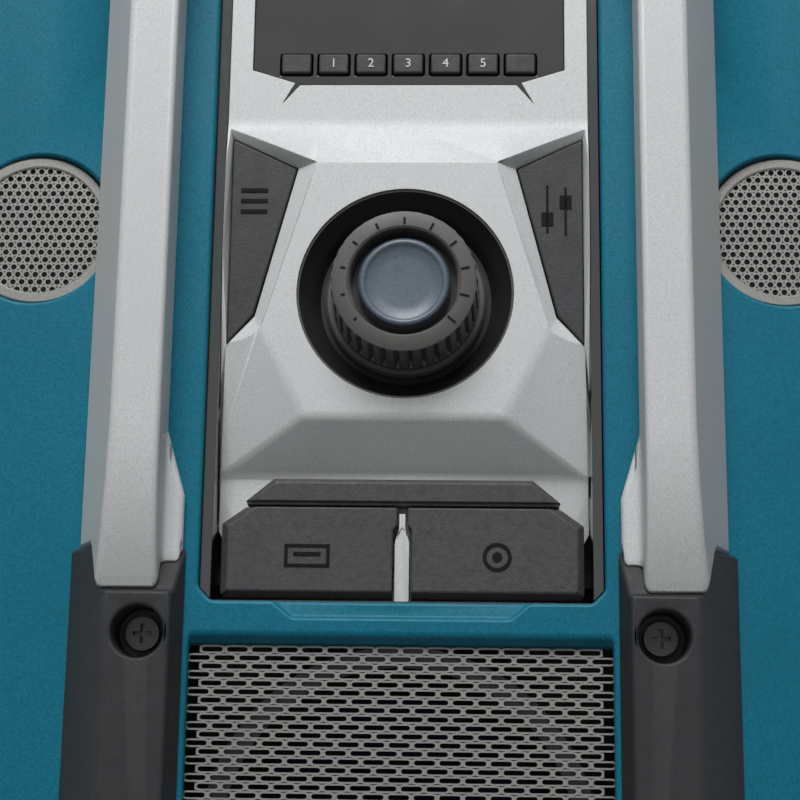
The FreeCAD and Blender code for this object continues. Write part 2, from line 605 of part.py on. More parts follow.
def keys():
    for index, name in enumerate(KEY_NAMES):
        body = panelBody(name)
        pad(body, outline(body, presetCorners(index, "0"), lift="-keyDepth"), "keyDepth - browDepth + 0.9")
    for name, flip in (("info_button", mirrored), ("tone_button", list)):
        body = panelBody(name)
        pad(body, outline(body, flip(sideKeyCorners("0")), lift="-keyDepth"), "keyDepth - sideKeyLevel")


def controlBoard():
    body = panelBody("control_board")
    plate = rectangle("-48", "6 - openBottom", "48", "lensTop")
    pad(body, outline(body, plate, lift="-boardDepth - boardThick"), "boardThick")


# One small switch stands on the board under each key.
def keySwitches():
    spots = [(keyX(index), "presetRow") for index in range(len(KEY_NAMES))]
    spots += [("-40", "17"), ("40", "17")]
    switches = []
    for number, (x, up) in enumerate(spots, start=1):
        switch = doc.addObject("Part::Box", f"switch_{number}")
        bind(switch, "Length", "6")
        bind(switch, "Width", "4.5")
        bind(switch, "Height", "boardDepth - keyDepth - keyTravel - 0.4")
        placeOnPanel(switch, f"{x} - 3", f"{up} - 2.25", "-boardDepth")
        switches.append(switch)
    group("key_switches", switches)


def knobDish():
    body = panelBody("knob_dish")
    turn(body, [("shaftRadius + 0.8", "-dishDepth - 1.2"), ("shaftRadius + 0.8", "-dishDepth"),
                ("dishRadius", "-dishDepth"), ("recessRadius - 0.5", "-0.3"), ("recessRadius - fit", "-0.3"),
                ("recessRadius - fit", "-2.2"), ("dishRadius + 1.4", "-dishDepth - 1.2")])


def encoder():
    body = panelBody("encoder_body")
    pad(body, outline(body, rectangle("-6.5", "-6.5", "6.5", "6.5"), lift="-boardDepth"), "boardDepth - 12")
    pad(body, circle(body, "0", "0", "shaftRadius + 0.7", lift="-12.5"), "12.5 - dishDepth - 0.8")
    cut(body, circle(body, "0", "0", "shaftRadius + runningGap", lift="0"), "16")
    chamber = circle(body, "0", "0", "5", lift="-boardDepth")
    cut(body, chamber, "6.5", reverse=True)
    plunger = panelBody("encoder_plunger")
    pad(plunger, circle(plunger, "0", "0", "4.6", lift="-17.6"), "2")
    shaft = panelBody("encoder_shaft")
    pad(shaft, circle(shaft, "0", "0", "shaftRadius", lift="-15.5"), "15.5 + bowlFloor - 1.2")


def tuningKnob():
    body = panelBody("tuning_knob")
    foot = "-collarDepth"
    turn(body, [("shaftRadius", foot), ("collarRadius", foot), ("collarRadius", "collarThick - collarDepth"),
                ("knobRadius", "collarThick - collarDepth + 0.4"), ("knobFace + 0.6", "knobOut - 1"),
                ("knobFace", "knobOut"), ("bowlRadius", "knobOut"), ("capRadius + 0.6", "bowlFloor"),
                ("0.01", "bowlFloor"), ("0.01", "bowlFloor - 1.2"), ("shaftRadius", "bowlFloor - 1.2")])
    groove = outline(body, rectangle("knobRadius - knurlDepth", "-0.45", "knobRadius + 1", "0.45"),
                     lift="collarThick - collarDepth + 0.8")
    pocket = cut(body, groove, "knobOut + collarDepth - collarThick - 1.8", reverse=True)
    pattern = body.newObject("PartDesign::PolarPattern", "tuning_knob_knurls")
    pattern.Originals = [pocket]
    pattern.Axis = (next(f for f in body.Origin.OriginFeatures if f.Role == "Z_Axis"), [""])
    pattern.Angle = 360
    bind(pattern, "Occurrences", "knurls")
    body.Tip = pattern
    cap = panelBody("knob_cap")
    turn(cap, [("0", "bowlFloor"), ("capRadius", "bowlFloor"), ("capRadius", "bowlFloor + 0.7"),
               ("capFace", "bowlFloor + capThick"), ("capFace - 0.5", "bowlFloor + capThick - 0.2"),
               ("0", "bowlFloor + capThick - 0.2")])


# A port cover hangs from a groove under the fixed strip; its back is hollow round a plug.
def portCover(name, flip, plugHalf, plugHigh):
    body = panelBody(name)
    near = "(ribHalf + ribGap)"
    plan = [("coverHalf", "-coverTop - 4"), ("coverHalf - 5.6", "-coverTop"), ("1.3", "-coverTop"),
            ("1.3", "-coverTop - 4.4"), (near, "-coverTop - 5.4"), (near, "-coverBottom"),
            ("coverHalf - 1", "-coverBottom"), ("coverHalf", "-coverBottom + 1")]
    pad(body, outline(body, flip(plan), lift="0.15 - shelfDepth"), "coverOut - 0.15")
    inside = rectangle(f"{near} + 2", "2 - coverBottom", "coverHalf - 3", "-coverTop - 6")
    cut(body, outline(body, flip(inside), lift="0.15 - shelfDepth"), "coverOut - coverSkin", reverse=True)
    plug = rectangle(f"portX - {plugHalf}", f"-portY - {plugHigh}", f"portX + {plugHalf}", f"{plugHigh} - portY")
    pad(body, outline(body, flip(plug), lift="-shelfDepth - 1.6"), "coverOut + 1.6 - coverSkin / 2")


def portStrip():
    body = panelBody("port_cover_strip")
    plan = [("-38.6", "-stripLow"), ("-31.7", "-stripTop"), ("31.7", "-stripTop"), ("38.6", "-stripLow")]
    pad(body, outline(body, plan, lift="-shelfDepth"), "stripOut")
    bead = rectangle("-38.2", "-stripLow - 0.9", "38.2", "-stripLow")
    pad(body, outline(body, bead, lift="-shelfDepth"), "stripOut - 0.8")


def sockets():
    usb = panelBody("usb_socket")
    pad(usb, outline(usb, rectangle("-portX - 7.6", "-portY - 4", "-portX + 7.6", "4 - portY"), lift="-boardDepth"),
        "boardDepth - panelBack - 0.2")
    mouth = rectangle("-portX - 6.3", "-portY - 2.6", "-portX + 6.3", "2.6 - portY")
    cut(usb, outline(usb, mouth, lift="0"), "boardDepth - 1")
    tongue = rectangle("-portX - 5", "-portY + 0.2", "-portX + 5", "2 - portY")
    pad(usb, outline(usb, tongue, lift="-boardDepth + 0.5"), "3.6")
    aux = panelBody("aux_jack")
    pad(aux, outline(aux, rectangle("portX - 5", "-portY - 5", "portX + 5", "5 - portY"), lift="-boardDepth"),
        "boardDepth - panelBack - 0.2")
    pad(aux, circle(aux, "portX", "-portY", "3.6", lift="-panelBack - 1"), "1.4")
    cut(aux, circle(aux, "portX", "-portY", "1.8", lift="0"), "boardDepth - 1")


# A flat sheet with rows of slots, every second row shifted by half a pitch.
def slottedSheet(halfWide, bottom, top, thick, margin):
    face = [Part.makePolygon([FreeCAD.Vector(x, y, 0) for x, y in
                              ((-halfWide, bottom), (halfWide, bottom), (halfWide, top), (-halfWide, top),
                               (-halfWide, bottom))])]
    pitch, rise, long, high = size("slotPitch"), size("slotRow"), size("slotLong"), size("slotHigh")
    rows = int((top - bottom - 2 * margin) / rise)
    for row in range(rows):
        y = top - margin - (row + 0.5) * rise
        reach = halfWide - margin - long / 2
        shift = pitch / 2 * (row % 2)
        count = int(reach / pitch) + 1
        for column in range(-count, count + 1):
            x = column * pitch + shift
            if abs(x) <= reach:
                ring = ((x - long / 2, y - high / 2), (x + long / 2, y - high / 2), (x + long / 2, y + high / 2),
                        (x - long / 2, y + high / 2), (x - long / 2, y - high / 2))
                face.append(Part.makePolygon([FreeCAD.Vector(a, b, 0) for a, b in ring]))
    return Part.makeFace(face, "Part::FaceMakerBullseye").extrude(FreeCAD.Vector(0, 0, thick))


def wooferGrille():
    grille = doc.addObject("Part::Feature", "woofer_grille")
    grille.Shape = slottedSheet(size("grilleHalf") + 3, -size("grilleBottom") - 2, 3 - size("grilleTop"),
                                size("grilleThick"), 4)
    placeOnPanel(grille, "0", "0", "faceOut - wall - fit - grilleThick")
    finish(grille)


WOOFER_Y = "(-(grilleTop + grilleBottom) / 2)"
WOOFER_FRONT = "(faceOut - wall - 2 * fit - grilleThick)"


def woofer():
    frame = panelBody("woofer_frame", "0", WOOFER_Y, WOOFER_FRONT)
    edge = "wooferRadius"
    turn(frame, [(edge, "0"), (edge, "-3"), (f"{edge} - 6", "-4.4"), ("27", "10 - wooferDepth"),
                 ("12", "10 - wooferDepth"), ("12", "11.6 - wooferDepth"), ("25.6", "11.6 - wooferDepth"),
                 (f"{edge} - 7.6", "-3"), (f"{edge} - 5", "-1.4"), (f"{edge} - 5", "0")])
    magnet = panelBody("woofer_magnet", "0", WOOFER_Y, WOOFER_FRONT)
    turn(magnet, [("0", "-wooferDepth"), ("31", "-wooferDepth"), ("31", "9.9 - wooferDepth"),
                  ("0", "9.9 - wooferDepth")])
    cone = panelBody("woofer_cone", "0", WOOFER_Y, WOOFER_FRONT)
    turn(cone, [("11.5", "13 - wooferDepth"), (f"{edge} - 11", "-4.6"), (f"{edge} - 11", "-3.8"),
                ("11", "14 - wooferDepth"), ("0", "17 - wooferDepth"), ("0", "15.8 - wooferDepth")])
    roll = panelBody("woofer_surround", "0", WOOFER_Y, WOOFER_FRONT)
    turn(roll, [(f"{edge} - 5.1", "-1.3"), (f"{edge} - 8", "-1"), (f"{edge} - 10.9", "-3.2"),
                (f"{edge} - 10.9", "-4.4"), (f"{edge} - 8", "-2.2"), (f"{edge} - 6.3", "-2")])


def sideSpeakers():
    level = wingLevel("tweeterX")
    grilles = []
    drivers = []
    for side, sign in (("left", "-"), ("right", "")):
        grille = doc.addObject("Part::Cylinder", f"side_grille_{side}")
        bind(grille, "Radius", "tweeterRadius - fit")
        bind(grille, "Height", "1.2")
        placeOnPanel(grille, f"{sign}tweeterX", "tweeterY", f"{level} - 2.6")
        grilles.append(grille)
        flange = doc.addObject("Part::Cylinder", f"speaker_flange_{side}")
        bind(flange, "Radius", "tweeterRadius - 1")
        bind(flange, "Height", "2.4")
        placeOnPanel(flange, f"{sign}tweeterX", "tweeterY", f"{level} - 5.4")
        magnet = doc.addObject("Part::Cylinder", f"speaker_magnet_{side}")
        bind(magnet, "Radius", "tweeterRadius / 2 + 1")
        bind(magnet, "Height", "14")
        placeOnPanel(magnet, f"{sign}tweeterX", "tweeterY", f"{level} - 19.4")
        drivers.append(join(f"side_speaker_{side}", [flange, magnet]))
    group("side_grilles", grilles)
    group("side_speakers", drivers)


def pillar(side, flip):
    body = panelBody(f"pillar_{side}")
    section = [("pillarIn", "faceOut + 0.02"), ("pillarIn + 0.3", "pillarOut"), ("pillarFront", "pillarOut"),
               ("pillarFoot", f"{wingLevel('pillarFoot')} + 0.02"), ("columnHalf + 0.02", "0.02 - wingStep"),
               ("columnHalf + 0.02", "faceOut + 0.02")]
    pad(body, outline(body, flip(section), "XZ_Plane", "bendEnd"), "pillarTop + bendEnd", reverse=True)
    flare = [("pillarIn + 0.4", "-bendStart"), ("pillarIn + 0.1", "-bendStart"),
             ("flareIn", "-bendStart - 16"),
             ("flareIn", "-bendEnd"), ("pillarIn + 0.4", "-bendEnd")]
    pad(body, outline(body, flip(flare), lift="faceOut + 0.02"), "2.5")
    bend = [("-bendStart", "pillarOut"), ("-bendStart - 14", "pillarOut - 1.2"),
            ("-bendStart - 28", "pillarOut - 3.7"),
            ("-bendEnd", "bendLevel"), ("-bendEnd - 1", "bendLevel"), ("-bendEnd - 1", "pillarOut + 1"),
            ("-bendStart", "pillarOut + 1")]
    cut(body, outline(body, bend, "YZ_Plane"), "4 * halfWidth", midplane=True)
    foot = [("-bendEnd", "bendLevel + 1"), ("-bendEnd", "bendLevel"), ("-bootTip", "faceOut"),
            ("-bootTip", "-wingStep - wingDrop"), ("-bendEnd - 1", "-wingStep - wingDrop"),
            ("-bendEnd - 1", "bendLevel + 1")]
    cut(body, outline(body, foot, "YZ_Plane"), "4 * halfWidth", midplane=True)


def lowerBoot(side, flip, sign):
    body = panelBody(f"lower_boot_{side}")
    outer = "(pillarFoot + 2)"
    section = [("bootIn", "faceOut + 0.02"), ("bootIn + 2.6", "bootOut"), ("pillarFront + 0.8", "bootOut"),
               (outer, f"{wingLevel(outer)} + 0.02"), ("columnHalf + 0.02", "0.02 - wingStep"),
               ("columnHalf + 0.02", "faceOut + 0.02")]
    pad(body, outline(body, flip(section), "XZ_Plane", "bootTip"), "200", reverse=False)
    bite = [("-bendEnd", "bootOut + 1"), ("-bendEnd", "bendLevel"), ("-bootTip - 0.05", "faceOut"),
            ("1 - bootTip", "faceOut"), ("1 - bootTip", "bootOut + 1")]
    cut(body, outline(body, bite, "YZ_Plane"), "4 * halfWidth", midplane=True)
    under = [(slopeAt("bootBottom", "bootOut + 1"), "bootOut + 1"), (slopeAt("bootBottom", "-20"), "-20"),
             ("-300", "-20"), ("-300", "bootOut + 1")]
    cut(body, outline(body, under, "YZ_Plane"), "4 * halfWidth", midplane=True)
    pad(body, circle(body, f"{sign}screwX", "-screwY", "recess + 1.9", lift="faceOut - 5.9"), "7")
    cut(body, circle(body, f"{sign}screwX", "-screwY", "recess", lift="bootOut + 1"), "bootOut + 3")
    cut(body, circle(body, f"{sign}screwX", "-screwY", "screwShank", lift="0"), "20")


def upperBoot(side, flip):
    body = panelBody(f"upper_boot_{side}")
    crown = "(bodyTop + 5)"
    level = "(pillarOut + 2)"
    profile = [("pillarTop", "faceOut + 0.02"), ("pillarTop", level), ("pillarTop + 12", level),
               ("pillarTop + 17", "pillarOut - 6"), (slopeAt(crown, "-20"), "-20"),
               (slopeAt("bodyTop + 0.02", "-20"), "-20"),
               (slopeAt("bodyTop + 0.02", "faceOut + 0.02"), "faceOut + 0.02")]
    start = "pillarIn - 0.6" if flip is list else "-(pillarFoot)"
    pad(body, outline(body, profile, "YZ_Plane", start), "pillarFoot - pillarIn + 0.6")
    filler = [("columnHalf + 0.02", "faceOut + 1"), ("columnHalf + 0.02", "0.02 - wingStep"),
              ("pillarFoot", f"{wingLevel('pillarFoot')} + 0.02"), ("pillarFoot", "faceOut + 1")]
    pad(body, outline(body, flip(filler), "XZ_Plane", "-pillarTop"), "9", reverse=True)
    side = [("pillarFront + 1", f"{level} + 1"), ("pillarFront + 1", level),
            ("pillarFoot + 0.1", f"{wingLevel('pillarFoot')}"),
            ("pillarFoot + 9", f"{wingLevel('pillarFoot')}"),
            ("pillarFoot + 9", f"{level} + 1")]
    cut(body, outline(body, flip(side), "XZ_Plane"), "400", midplane=True)


def bootScrews():
    screws = []
    for number, sign in enumerate(("-", ""), start=1):
        head = doc.addObject("Part::Cylinder", f"boot_screw_head_{number}")
        bind(head, "Radius", "screwHead")
        bind(head, "Height", "2.6")
        placeOnPanel(head, f"{sign}screwX", "-screwY", "-2")
        shank = doc.addObject("Part::Cylinder", f"boot_screw_shank_{number}")
        bind(shank, "Radius", "screwShank")
        bind(shank, "Height", "9")
        placeOnPanel(shank, f"{sign}screwX", "-screwY", "-11")
        slots = []
        for letter, long, wide in (("a", "4.6", "1.1"), ("b", "1.1", "4.6")):
            slot = doc.addObject("Part::Box", f"boot_screw_slot_{number}{letter}")
            bind(slot, "Length", long)
            bind(slot, "Width", wide)
            bind(slot, "Height", "3")
            placeOnPanel(slot, f"{sign}screwX - {long} / 2", f"-screwY - {wide} / 2", "-0.9")
            slots.append(slot)
        blank = join(f"boot_screw_blank_{number}", [head, shank])
        screws.append(subtract(f"boot_screw_{number}", blank, join(f"boot_screw_cross_{number}", slots)))
    group("boot_screws", screws)


def caseScrews():
    screws = []
    for number, (x, z) in enumerate(CASE_SCREWS, start=1):
        head = doc.addObject("Part::Cylinder", f"case_screw_head_{number}")
        bind(head, "Radius", "screwHead - fit")
        bind(head, "Height", "1.6")
        head.Placement.Rotation = FreeCAD.Rotation(FreeCAD.Vector(1, 0, 0), 90)
        place(head, x, "bodyBack - 0.2", z)
        shank = doc.addObject("Part::Cylinder", f"case_screw_shank_{number}")
        bind(shank, "Radius", "screwShank - fit")
        bind(shank, "Height", "30")
        shank.Placement.Rotation = FreeCAD.Rotation(FreeCAD.Vector(1, 0, 0), 90)
        place(shank, x, "bodyBack - 1.5", z)
        screws.append(join(f"case_screw_{number}", [head, shank]))
    group("case_screws", screws)


def rearGuards():
    plan = [("halfWidth - 16", "bodyBack + 0.02"), ("halfWidth + 0.02", "bodyBack + 0.02"),
            ("halfWidth + 0.02", "bodyBack - 22"), ("halfWidth + 4", "bodyBack - 20"),
            ("halfWidth + 4", "bodyBack + 1"),
            ("halfWidth + 1", "bodyBack + 4"), ("halfWidth - 14", "bodyBack + 4")]
    guards = []
    for side, flip in (("left", mirrored), ("right", list)):
        body = doc.addObject("PartDesign::Body", f"rear_guard_{side}")
        pad(body, outline(body, flip(plan), lift="bodyBottom + 12"), "bodyTop - bodyBottom - 66")
        guards.append(body)
    group("rear_guards", guards)


ARM_LEFT = "(halfWidth + armGap)"


def handle():
    grip_y = "(handlePivotY + handleReach)"
    for side, start in (("left", f"-{ARM_LEFT} - armThick"), ("right", ARM_LEFT)):
        bar = box(f"arm_bar_{side}", (start, "handlePivotY", "handlePivotZ - pinHead + 1.5"),
                  ("armThick", "handleReach", "2 * (pinHead - 1.5)"))
        eye = crossCylinder(f"arm_eye_{side}", (start, "handlePivotY", "handlePivotZ"), "pinHead", "armThick")
        end = crossCylinder(f"arm_end_{side}", (start, grip_y, "handlePivotZ"), "pinHead + 1", "armThick")
        bore = crossCylinder(f"arm_bore_{side}", (start, "handlePivotY", "handlePivotZ"), "pinRadius + runningGap",
                             "armThick")
        seat = crossCylinder(f"arm_seat_{side}", (start, grip_y, "handlePivotZ"), "coreRadius", "armThick")
        finish(subtract(f"handle_arm_{side}", join(f"arm_blank_{side}", [bar, eye, end]),
                        join(f"arm_holes_{side}", [bore, seat])))
    core = crossCylinder("handle_core", (f"-{ARM_LEFT} - armThick", grip_y, "handlePivotZ"), "coreRadius",
                         f"2 * ({ARM_LEFT} + armThick)")
    finish(core)
    sleeve = crossCylinder("grip_sleeve", (f"0.1 - {ARM_LEFT}", grip_y, "handlePivotZ"), "gripRadius",
                           f"2 * {ARM_LEFT} - 0.2")
    hole = crossCylinder("grip_hole", (f"-{ARM_LEFT}", grip_y, "handlePivotZ"), "coreRadius", f"2 * {ARM_LEFT}")
    finish(subtract("handle_grip", sleeve, hole))


def handlePins():
    pins = []
    for side, sign in (("left", -1), ("right", 1)):
        inner = f"{sign} * (halfWidth - wall)"
        outer = f"{sign} * ({ARM_LEFT} + armThick + 0.3)"
        length = f"{ARM_LEFT} + armThick + 0.3 - halfWidth + wall"
        shank = crossCylinder(f"pin_shank_{side}", (inner if sign > 0 else outer, "handlePivotY", "handlePivotZ"),
                              "pinRadius", length)
        head = crossCylinder(f"pin_head_{side}", (outer if sign > 0 else f"{outer} - 3.5", "handlePivotY",
                                                  "handlePivotZ"), "pinHead", "3.5")
        pins.append(join(f"pin_{side}", [shank, head]))
    group("handle_pins", pins)


def batteryBay():
    shell = box("bay_shell", ("fit - bayHalf", "bodyBack - bayDepth", "bayBottom + fit"),
                ("2 * (bayHalf - fit)", "bayDepth", "bayTop - bayBottom - 2 * fit"))
    space = box("bay_space", ("bayWall - bayHalf", "bodyBack - bayDepth + bayWall", "bayBottom + bayWall"),
                ("2 * (bayHalf - bayWall)", "bayDepth", "bayTop - bayBottom - 2 * bayWall"))
    finish(subtract("battery_bay", shell, space))


# The terminal block hangs from the bay's ceiling with two rails and three contact blades.
def batteryTerminal():
    ceiling = "(bayTop - bayWall)"
    block = box("terminal_block", ("-19", "bodyBack - bayDepth + bayWall", f"{ceiling} - 9"), ("38", "14", "9"))
    rails = [box(f"terminal_rail_{number}", (x, "bodyBack - bayDepth + bayWall", f"{ceiling} - 7"), ("5", "50", "7"))
             for number, x in enumerate(("-29", "24"), start=1)]
    bridge = box("terminal_bridge", ("-29", "bodyBack - bayDepth + bayWall", f"{ceiling} - 3"), ("58", "50", "3"))
    blades = [box(f"terminal_blade_{number}", (x, "bodyBack - bayDepth + bayWall + 14", f"{ceiling} - 8"),
                  ("0.9", "10", "6")) for number, x in enumerate(("-12.4", "-0.4", "11.6"), start=1)]
    finish(join("battery_terminal", [block, bridge] + rails + blades))


LATCH_Y = "(bodyBack + 0.3 + doorThick / 2)"
LATCH_Z = "(bayTop - 8)"


def batteryDoor():
    body = worldBody("battery_door")
    back = "(bodyBack + 0.3)"
    plan = rectangle("-bayHalf - doorLap", "bayBottom - doorLap + 1", "bayHalf + doorLap", "bayTop + doorLap")
    pad(body, outline(body, plan, "XZ_Plane", f"-{back}"), "doorThick", reverse=True)
    for start, length in KNUCKLES["door"]:
        pad(body, circle(body, HINGE_Y, HINGE_Z, "knuckle - 0.1", "YZ_Plane", start), length)
        web = [(f"{HINGE_Y} - 1.6", HINGE_Z), (f"{HINGE_Y} + 2.2", HINGE_Z),
               (f"{back} + doorThick", "bayBottom + 1"),
               (back, "bayBottom + 1")]
        pad(body, outline(body, web, "YZ_Plane", start), length)
    cut(body, circle(body, HINGE_Y, HINGE_Z, "doorPin + runningGap", "YZ_Plane"), "2 * bayHalf", midplane=True)
    slot = rectangle("-14.5", "bayTop - 16.5", "14.5", "bayTop + doorLap + 1")
    cut(body, outline(body, slot, "XZ_Plane", "-bodyBack - doorThick - 5"), "20", reverse=True)
    cut(body, circle(body, LATCH_Y, LATCH_Z, "latchPin + runningGap", "YZ_Plane"), "32.4", midplane=True)
    finish(crossCylinder("battery_door_pin", ("-54", HINGE_Y, HINGE_Z), "doorPin", "108"))


# The latch is a lever in the door's top edge that turns on two stubs of its own.
def doorLatch():
    plate = box("latch_plate", ("-14", "bodyBack + 0.3", "bayTop - 16"), ("28", "doorThick", "16 + doorLap"))
    thumb = box("latch_thumb", ("-14", "bodyBack + 0.3 + doorThick - 0.2", "bayTop - 14.4"), ("28", "3.2", "3.4"))
    trunnion = crossCylinder("latch_trunnion", ("-16", LATCH_Y, LATCH_Z), "latchPin", "32")
    finish(join("door_latch", [plate, thumb, trunnion]))


def rubberFeet():
    feet = []
    for number, (x, y) in enumerate((("-footX", "footFront"), ("footX", "footFront"), ("-footX", "footRear"),
                                     ("footX", "footRear")), start=1):
        foot = doc.addObject("Part::Cone", f"foot_{number}")
        bind(foot, "Radius1", "footRadius - 1.5")
        bind(foot, "Radius2", "footRadius")
        bind(foot, "Height", "bodyBottom")
        place(foot, x, y, "0")
        feet.append(foot)
    group("rubber_feet", feet)


def mainBoard():
    corner = ("34 - halfWidth", "16", "bayTop + 8")
    finish(box("main_board", corner, ("2 * halfWidth - 68", "boardThick", "bodyTop - bayTop - 68")))


def aerial():
    start = "halfWidth + 2.4"
    hub = crossCylinder("aerial_hub", (start, "aerialY", "aerialZ"), "aerialHub", "7.6")
    rod = doc.addObject("Part::Cylinder", "aerial_rod")
    bind(rod, "Radius", "aerialRadius")
    bind(rod, "Height", "aerialLong - aerialHub / 2")
    place(rod, "halfWidth + 6.2", "aerialY", "aerialZ - aerialLong")
    finish(join("aerial", [hub, rod]))


# The mains socket sits behind the back wall under a small hinged rubber cover.
def mainsSocket():
    body = worldBody("dc_socket", "dcX", "bodyBack - 0.4", "dcZ")
    pad(body, circle(body, "0", "0", "5.4", "XZ_Plane"), "12")
    cut(body, circle(body, "0", "0", "3.2", "XZ_Plane"), "10", reverse=True)
    pad(body, circle(body, "0", "0", "1.05", "XZ_Plane", "1.5"), "9.5")
    cover = worldBody("dc_cover", "dcX", "bodyBack + 0.3", "dcZ")
    pad(cover, outline(cover, rectangle("-9", "-8.5", "9", "10"), "XZ_Plane"), "2.6", reverse=True)


frontHousing()
rearHousing()
housingSeal()
fascia()
fasciaSurround()
displayLens()
displayModule()
keys()
controlBoard()
keySwitches()
knobDish()
encoder()
tuningKnob()
portCover("usb_cover", mirrored, "6", "2.2")
portCover("aux_cover", list, "2.4", "2.4")
portStrip()
sockets()
wooferGrille()
woofer()
sideSpeakers()
for side, flip, sign in (("left", mirrored, "-"), ("right", list, "")):
    pillar(side, flip)
    lowerBoot(side, flip, sign)
    upperBoot(side, flip)
rearGuards()
bootScrews()
caseScrews()
handle()
handlePins()
batteryBay()
batteryTerminal()
batteryDoor()
doorLatch()
rubberFeet()
mainBoard()
aerial()
mainsSocket()

doc.recompute()
for thing in doc.Objects:
    if "Invalid" in thing.State or "Error" in thing.State:
        raise RuntimeError(f"{thing.Name} failed: {thing.State}")
os.makedirs("parts", exist_ok=True)
for part in subParts:
    if part.Shape.isNull() or not part.Shape.isValid():
        raise RuntimeError(f"{part.Name} has no valid shape")
for part in subParts:
    part.Label = part.Name
    part.Shape.exportStep(f"parts/{part.Name}.step")
print(len(subParts), "sub-parts")
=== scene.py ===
import json
import math

import bmesh
import bpy
from mathutils import Euler, Matrix, Vector

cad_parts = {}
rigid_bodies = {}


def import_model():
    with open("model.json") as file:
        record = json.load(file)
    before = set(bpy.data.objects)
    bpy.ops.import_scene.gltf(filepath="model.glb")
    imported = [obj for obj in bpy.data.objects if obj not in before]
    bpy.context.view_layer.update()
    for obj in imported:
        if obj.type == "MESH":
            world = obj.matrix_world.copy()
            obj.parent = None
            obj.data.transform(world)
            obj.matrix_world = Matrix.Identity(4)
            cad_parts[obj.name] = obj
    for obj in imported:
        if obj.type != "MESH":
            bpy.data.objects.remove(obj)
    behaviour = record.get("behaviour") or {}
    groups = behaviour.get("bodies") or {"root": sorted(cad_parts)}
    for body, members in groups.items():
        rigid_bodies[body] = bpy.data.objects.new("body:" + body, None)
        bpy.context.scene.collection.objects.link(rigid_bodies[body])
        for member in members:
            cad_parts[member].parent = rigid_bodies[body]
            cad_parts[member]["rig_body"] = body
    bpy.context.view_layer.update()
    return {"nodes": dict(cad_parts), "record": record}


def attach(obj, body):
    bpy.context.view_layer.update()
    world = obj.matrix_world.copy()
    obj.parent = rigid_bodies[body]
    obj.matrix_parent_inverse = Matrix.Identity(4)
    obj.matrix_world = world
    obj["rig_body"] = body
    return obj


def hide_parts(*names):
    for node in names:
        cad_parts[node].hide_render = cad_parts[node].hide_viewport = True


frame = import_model()

# The panel frame, in mm: x to the right, y up the slope, z out of the silver face, zero at the knob's centre.
panel = {"lean": 15, "knobDepth": -24.49, "knobHeight": 194.003}
mm = 0.001
worldFrame = Matrix.Scale(mm, 4)
panelFrame = (Matrix.Translation(Vector((0, panel["knobDepth"], panel["knobHeight"])) * mm)
              @ Matrix.Rotation(math.radians(90 - panel["lean"]), 4, "X") @ worldFrame)
slotOf = {part["node"]: part["material_slot"] for part in frame["record"]["subparts"]}
print("frame loaded:", len(frame["nodes"]), "nodes")


# A procedural material in the object's own coordinates. Tints and bumps are laid one over another.
class Finish:
    def __init__(self, name, colour, roughness, metallic=0.0, coat=0.0, gloss=0.5):
        self.material = bpy.data.materials.new(name)
        self.material.use_nodes = True
        self.tree = self.material.node_tree
        self.shader = self.tree.nodes["Principled BSDF"]
        self.colour = (*colour, 1)
        self.shader.inputs["Base Color"].default_value = self.colour
        self.shader.inputs["Roughness"].default_value = roughness
        self.shader.inputs["Metallic"].default_value = metallic
        self.shader.inputs["Specular IOR Level"].default_value = gloss
        self.shader.inputs["Coat Weight"].default_value = coat
        self.shader.inputs["Coat Roughness"].default_value = 0.12
        self.coords = self.node("ShaderNodeTexCoord").outputs["Object"]
        self.bumpEnd = None
        self.paint = None

    def node(self, kind, **values):
        made = self.tree.nodes.new(kind)
        for key, value in values.items():
            if hasattr(made, key):
                setattr(made, key, value)
            else:
                made.inputs[key.replace("_", " ")].default_value = value
        return made

    def link(self, start, end):
        self.tree.links.new(start, end)

    def noise(self, size, detail=2.0, stretch=(1, 1, 1)):
        place = self.node("ShaderNodeMapping")
        place.inputs["Scale"].default_value = stretch
        self.link(self.coords, place.inputs["Vector"])
        made = self.node("ShaderNodeTexNoise", Scale=1 / (size * mm), Detail=detail)
        self.link(place.outputs["Vector"], made.inputs["Vector"])
        return made.outputs["Fac"]

    def cells(self, size, feature="F1"):
        made = self.node("ShaderNodeTexVoronoi", feature=feature, Scale=1 / (size * mm))
        self.link(self.coords, made.inputs["Vector"])
        return made.outputs["Distance"]

    def bump(self, height, depth, strength=1.0):
        made = self.node("ShaderNodeBump", Distance=depth * mm, Strength=strength)
        self.link(height, made.inputs["Height"])
        if self.bumpEnd:
            self.link(self.bumpEnd, made.inputs["Normal"])
        self.bumpEnd = made.outputs["Normal"]
        self.link(self.bumpEnd, self.shader.inputs["Normal"])

    # Mixes the colour in where the factor goes from low to high.
    def tint(self, factor, colour, low, high, amount=1.0):
        ramp = self.node("ShaderNodeMapRange")
        ramp.inputs["From Min"].default_value = low
        ramp.inputs["From Max"].default_value = high
        ramp.inputs["To Max"].default_value = amount
        self.link(factor, ramp.inputs["Value"])
        mix = self.node("ShaderNodeMix", data_type="RGBA")
        mix.inputs[6].default_value = self.colour
        if self.paint:
            self.link(self.paint, mix.inputs[6])
        mix.inputs[7].default_value = (*colour, 1)
        self.link(ramp.outputs["Result"], mix.inputs[0])
        self.paint = mix.outputs[2]
        self.link(self.paint, self.shader.inputs["Base Color"])

    def shine(self, factor, low, high):
        ramp = self.node("ShaderNodeMapRange")
        ramp.inputs["From Min"].default_value = 0.3
        ramp.inputs["From Max"].default_value = 0.7
        ramp.inputs["To Min"].default_value = low
        ramp.inputs["To Max"].default_value = high
        self.link(factor, ramp.inputs["Value"])
        self.link(ramp.outputs["Result"], self.shader.inputs["Roughness"])


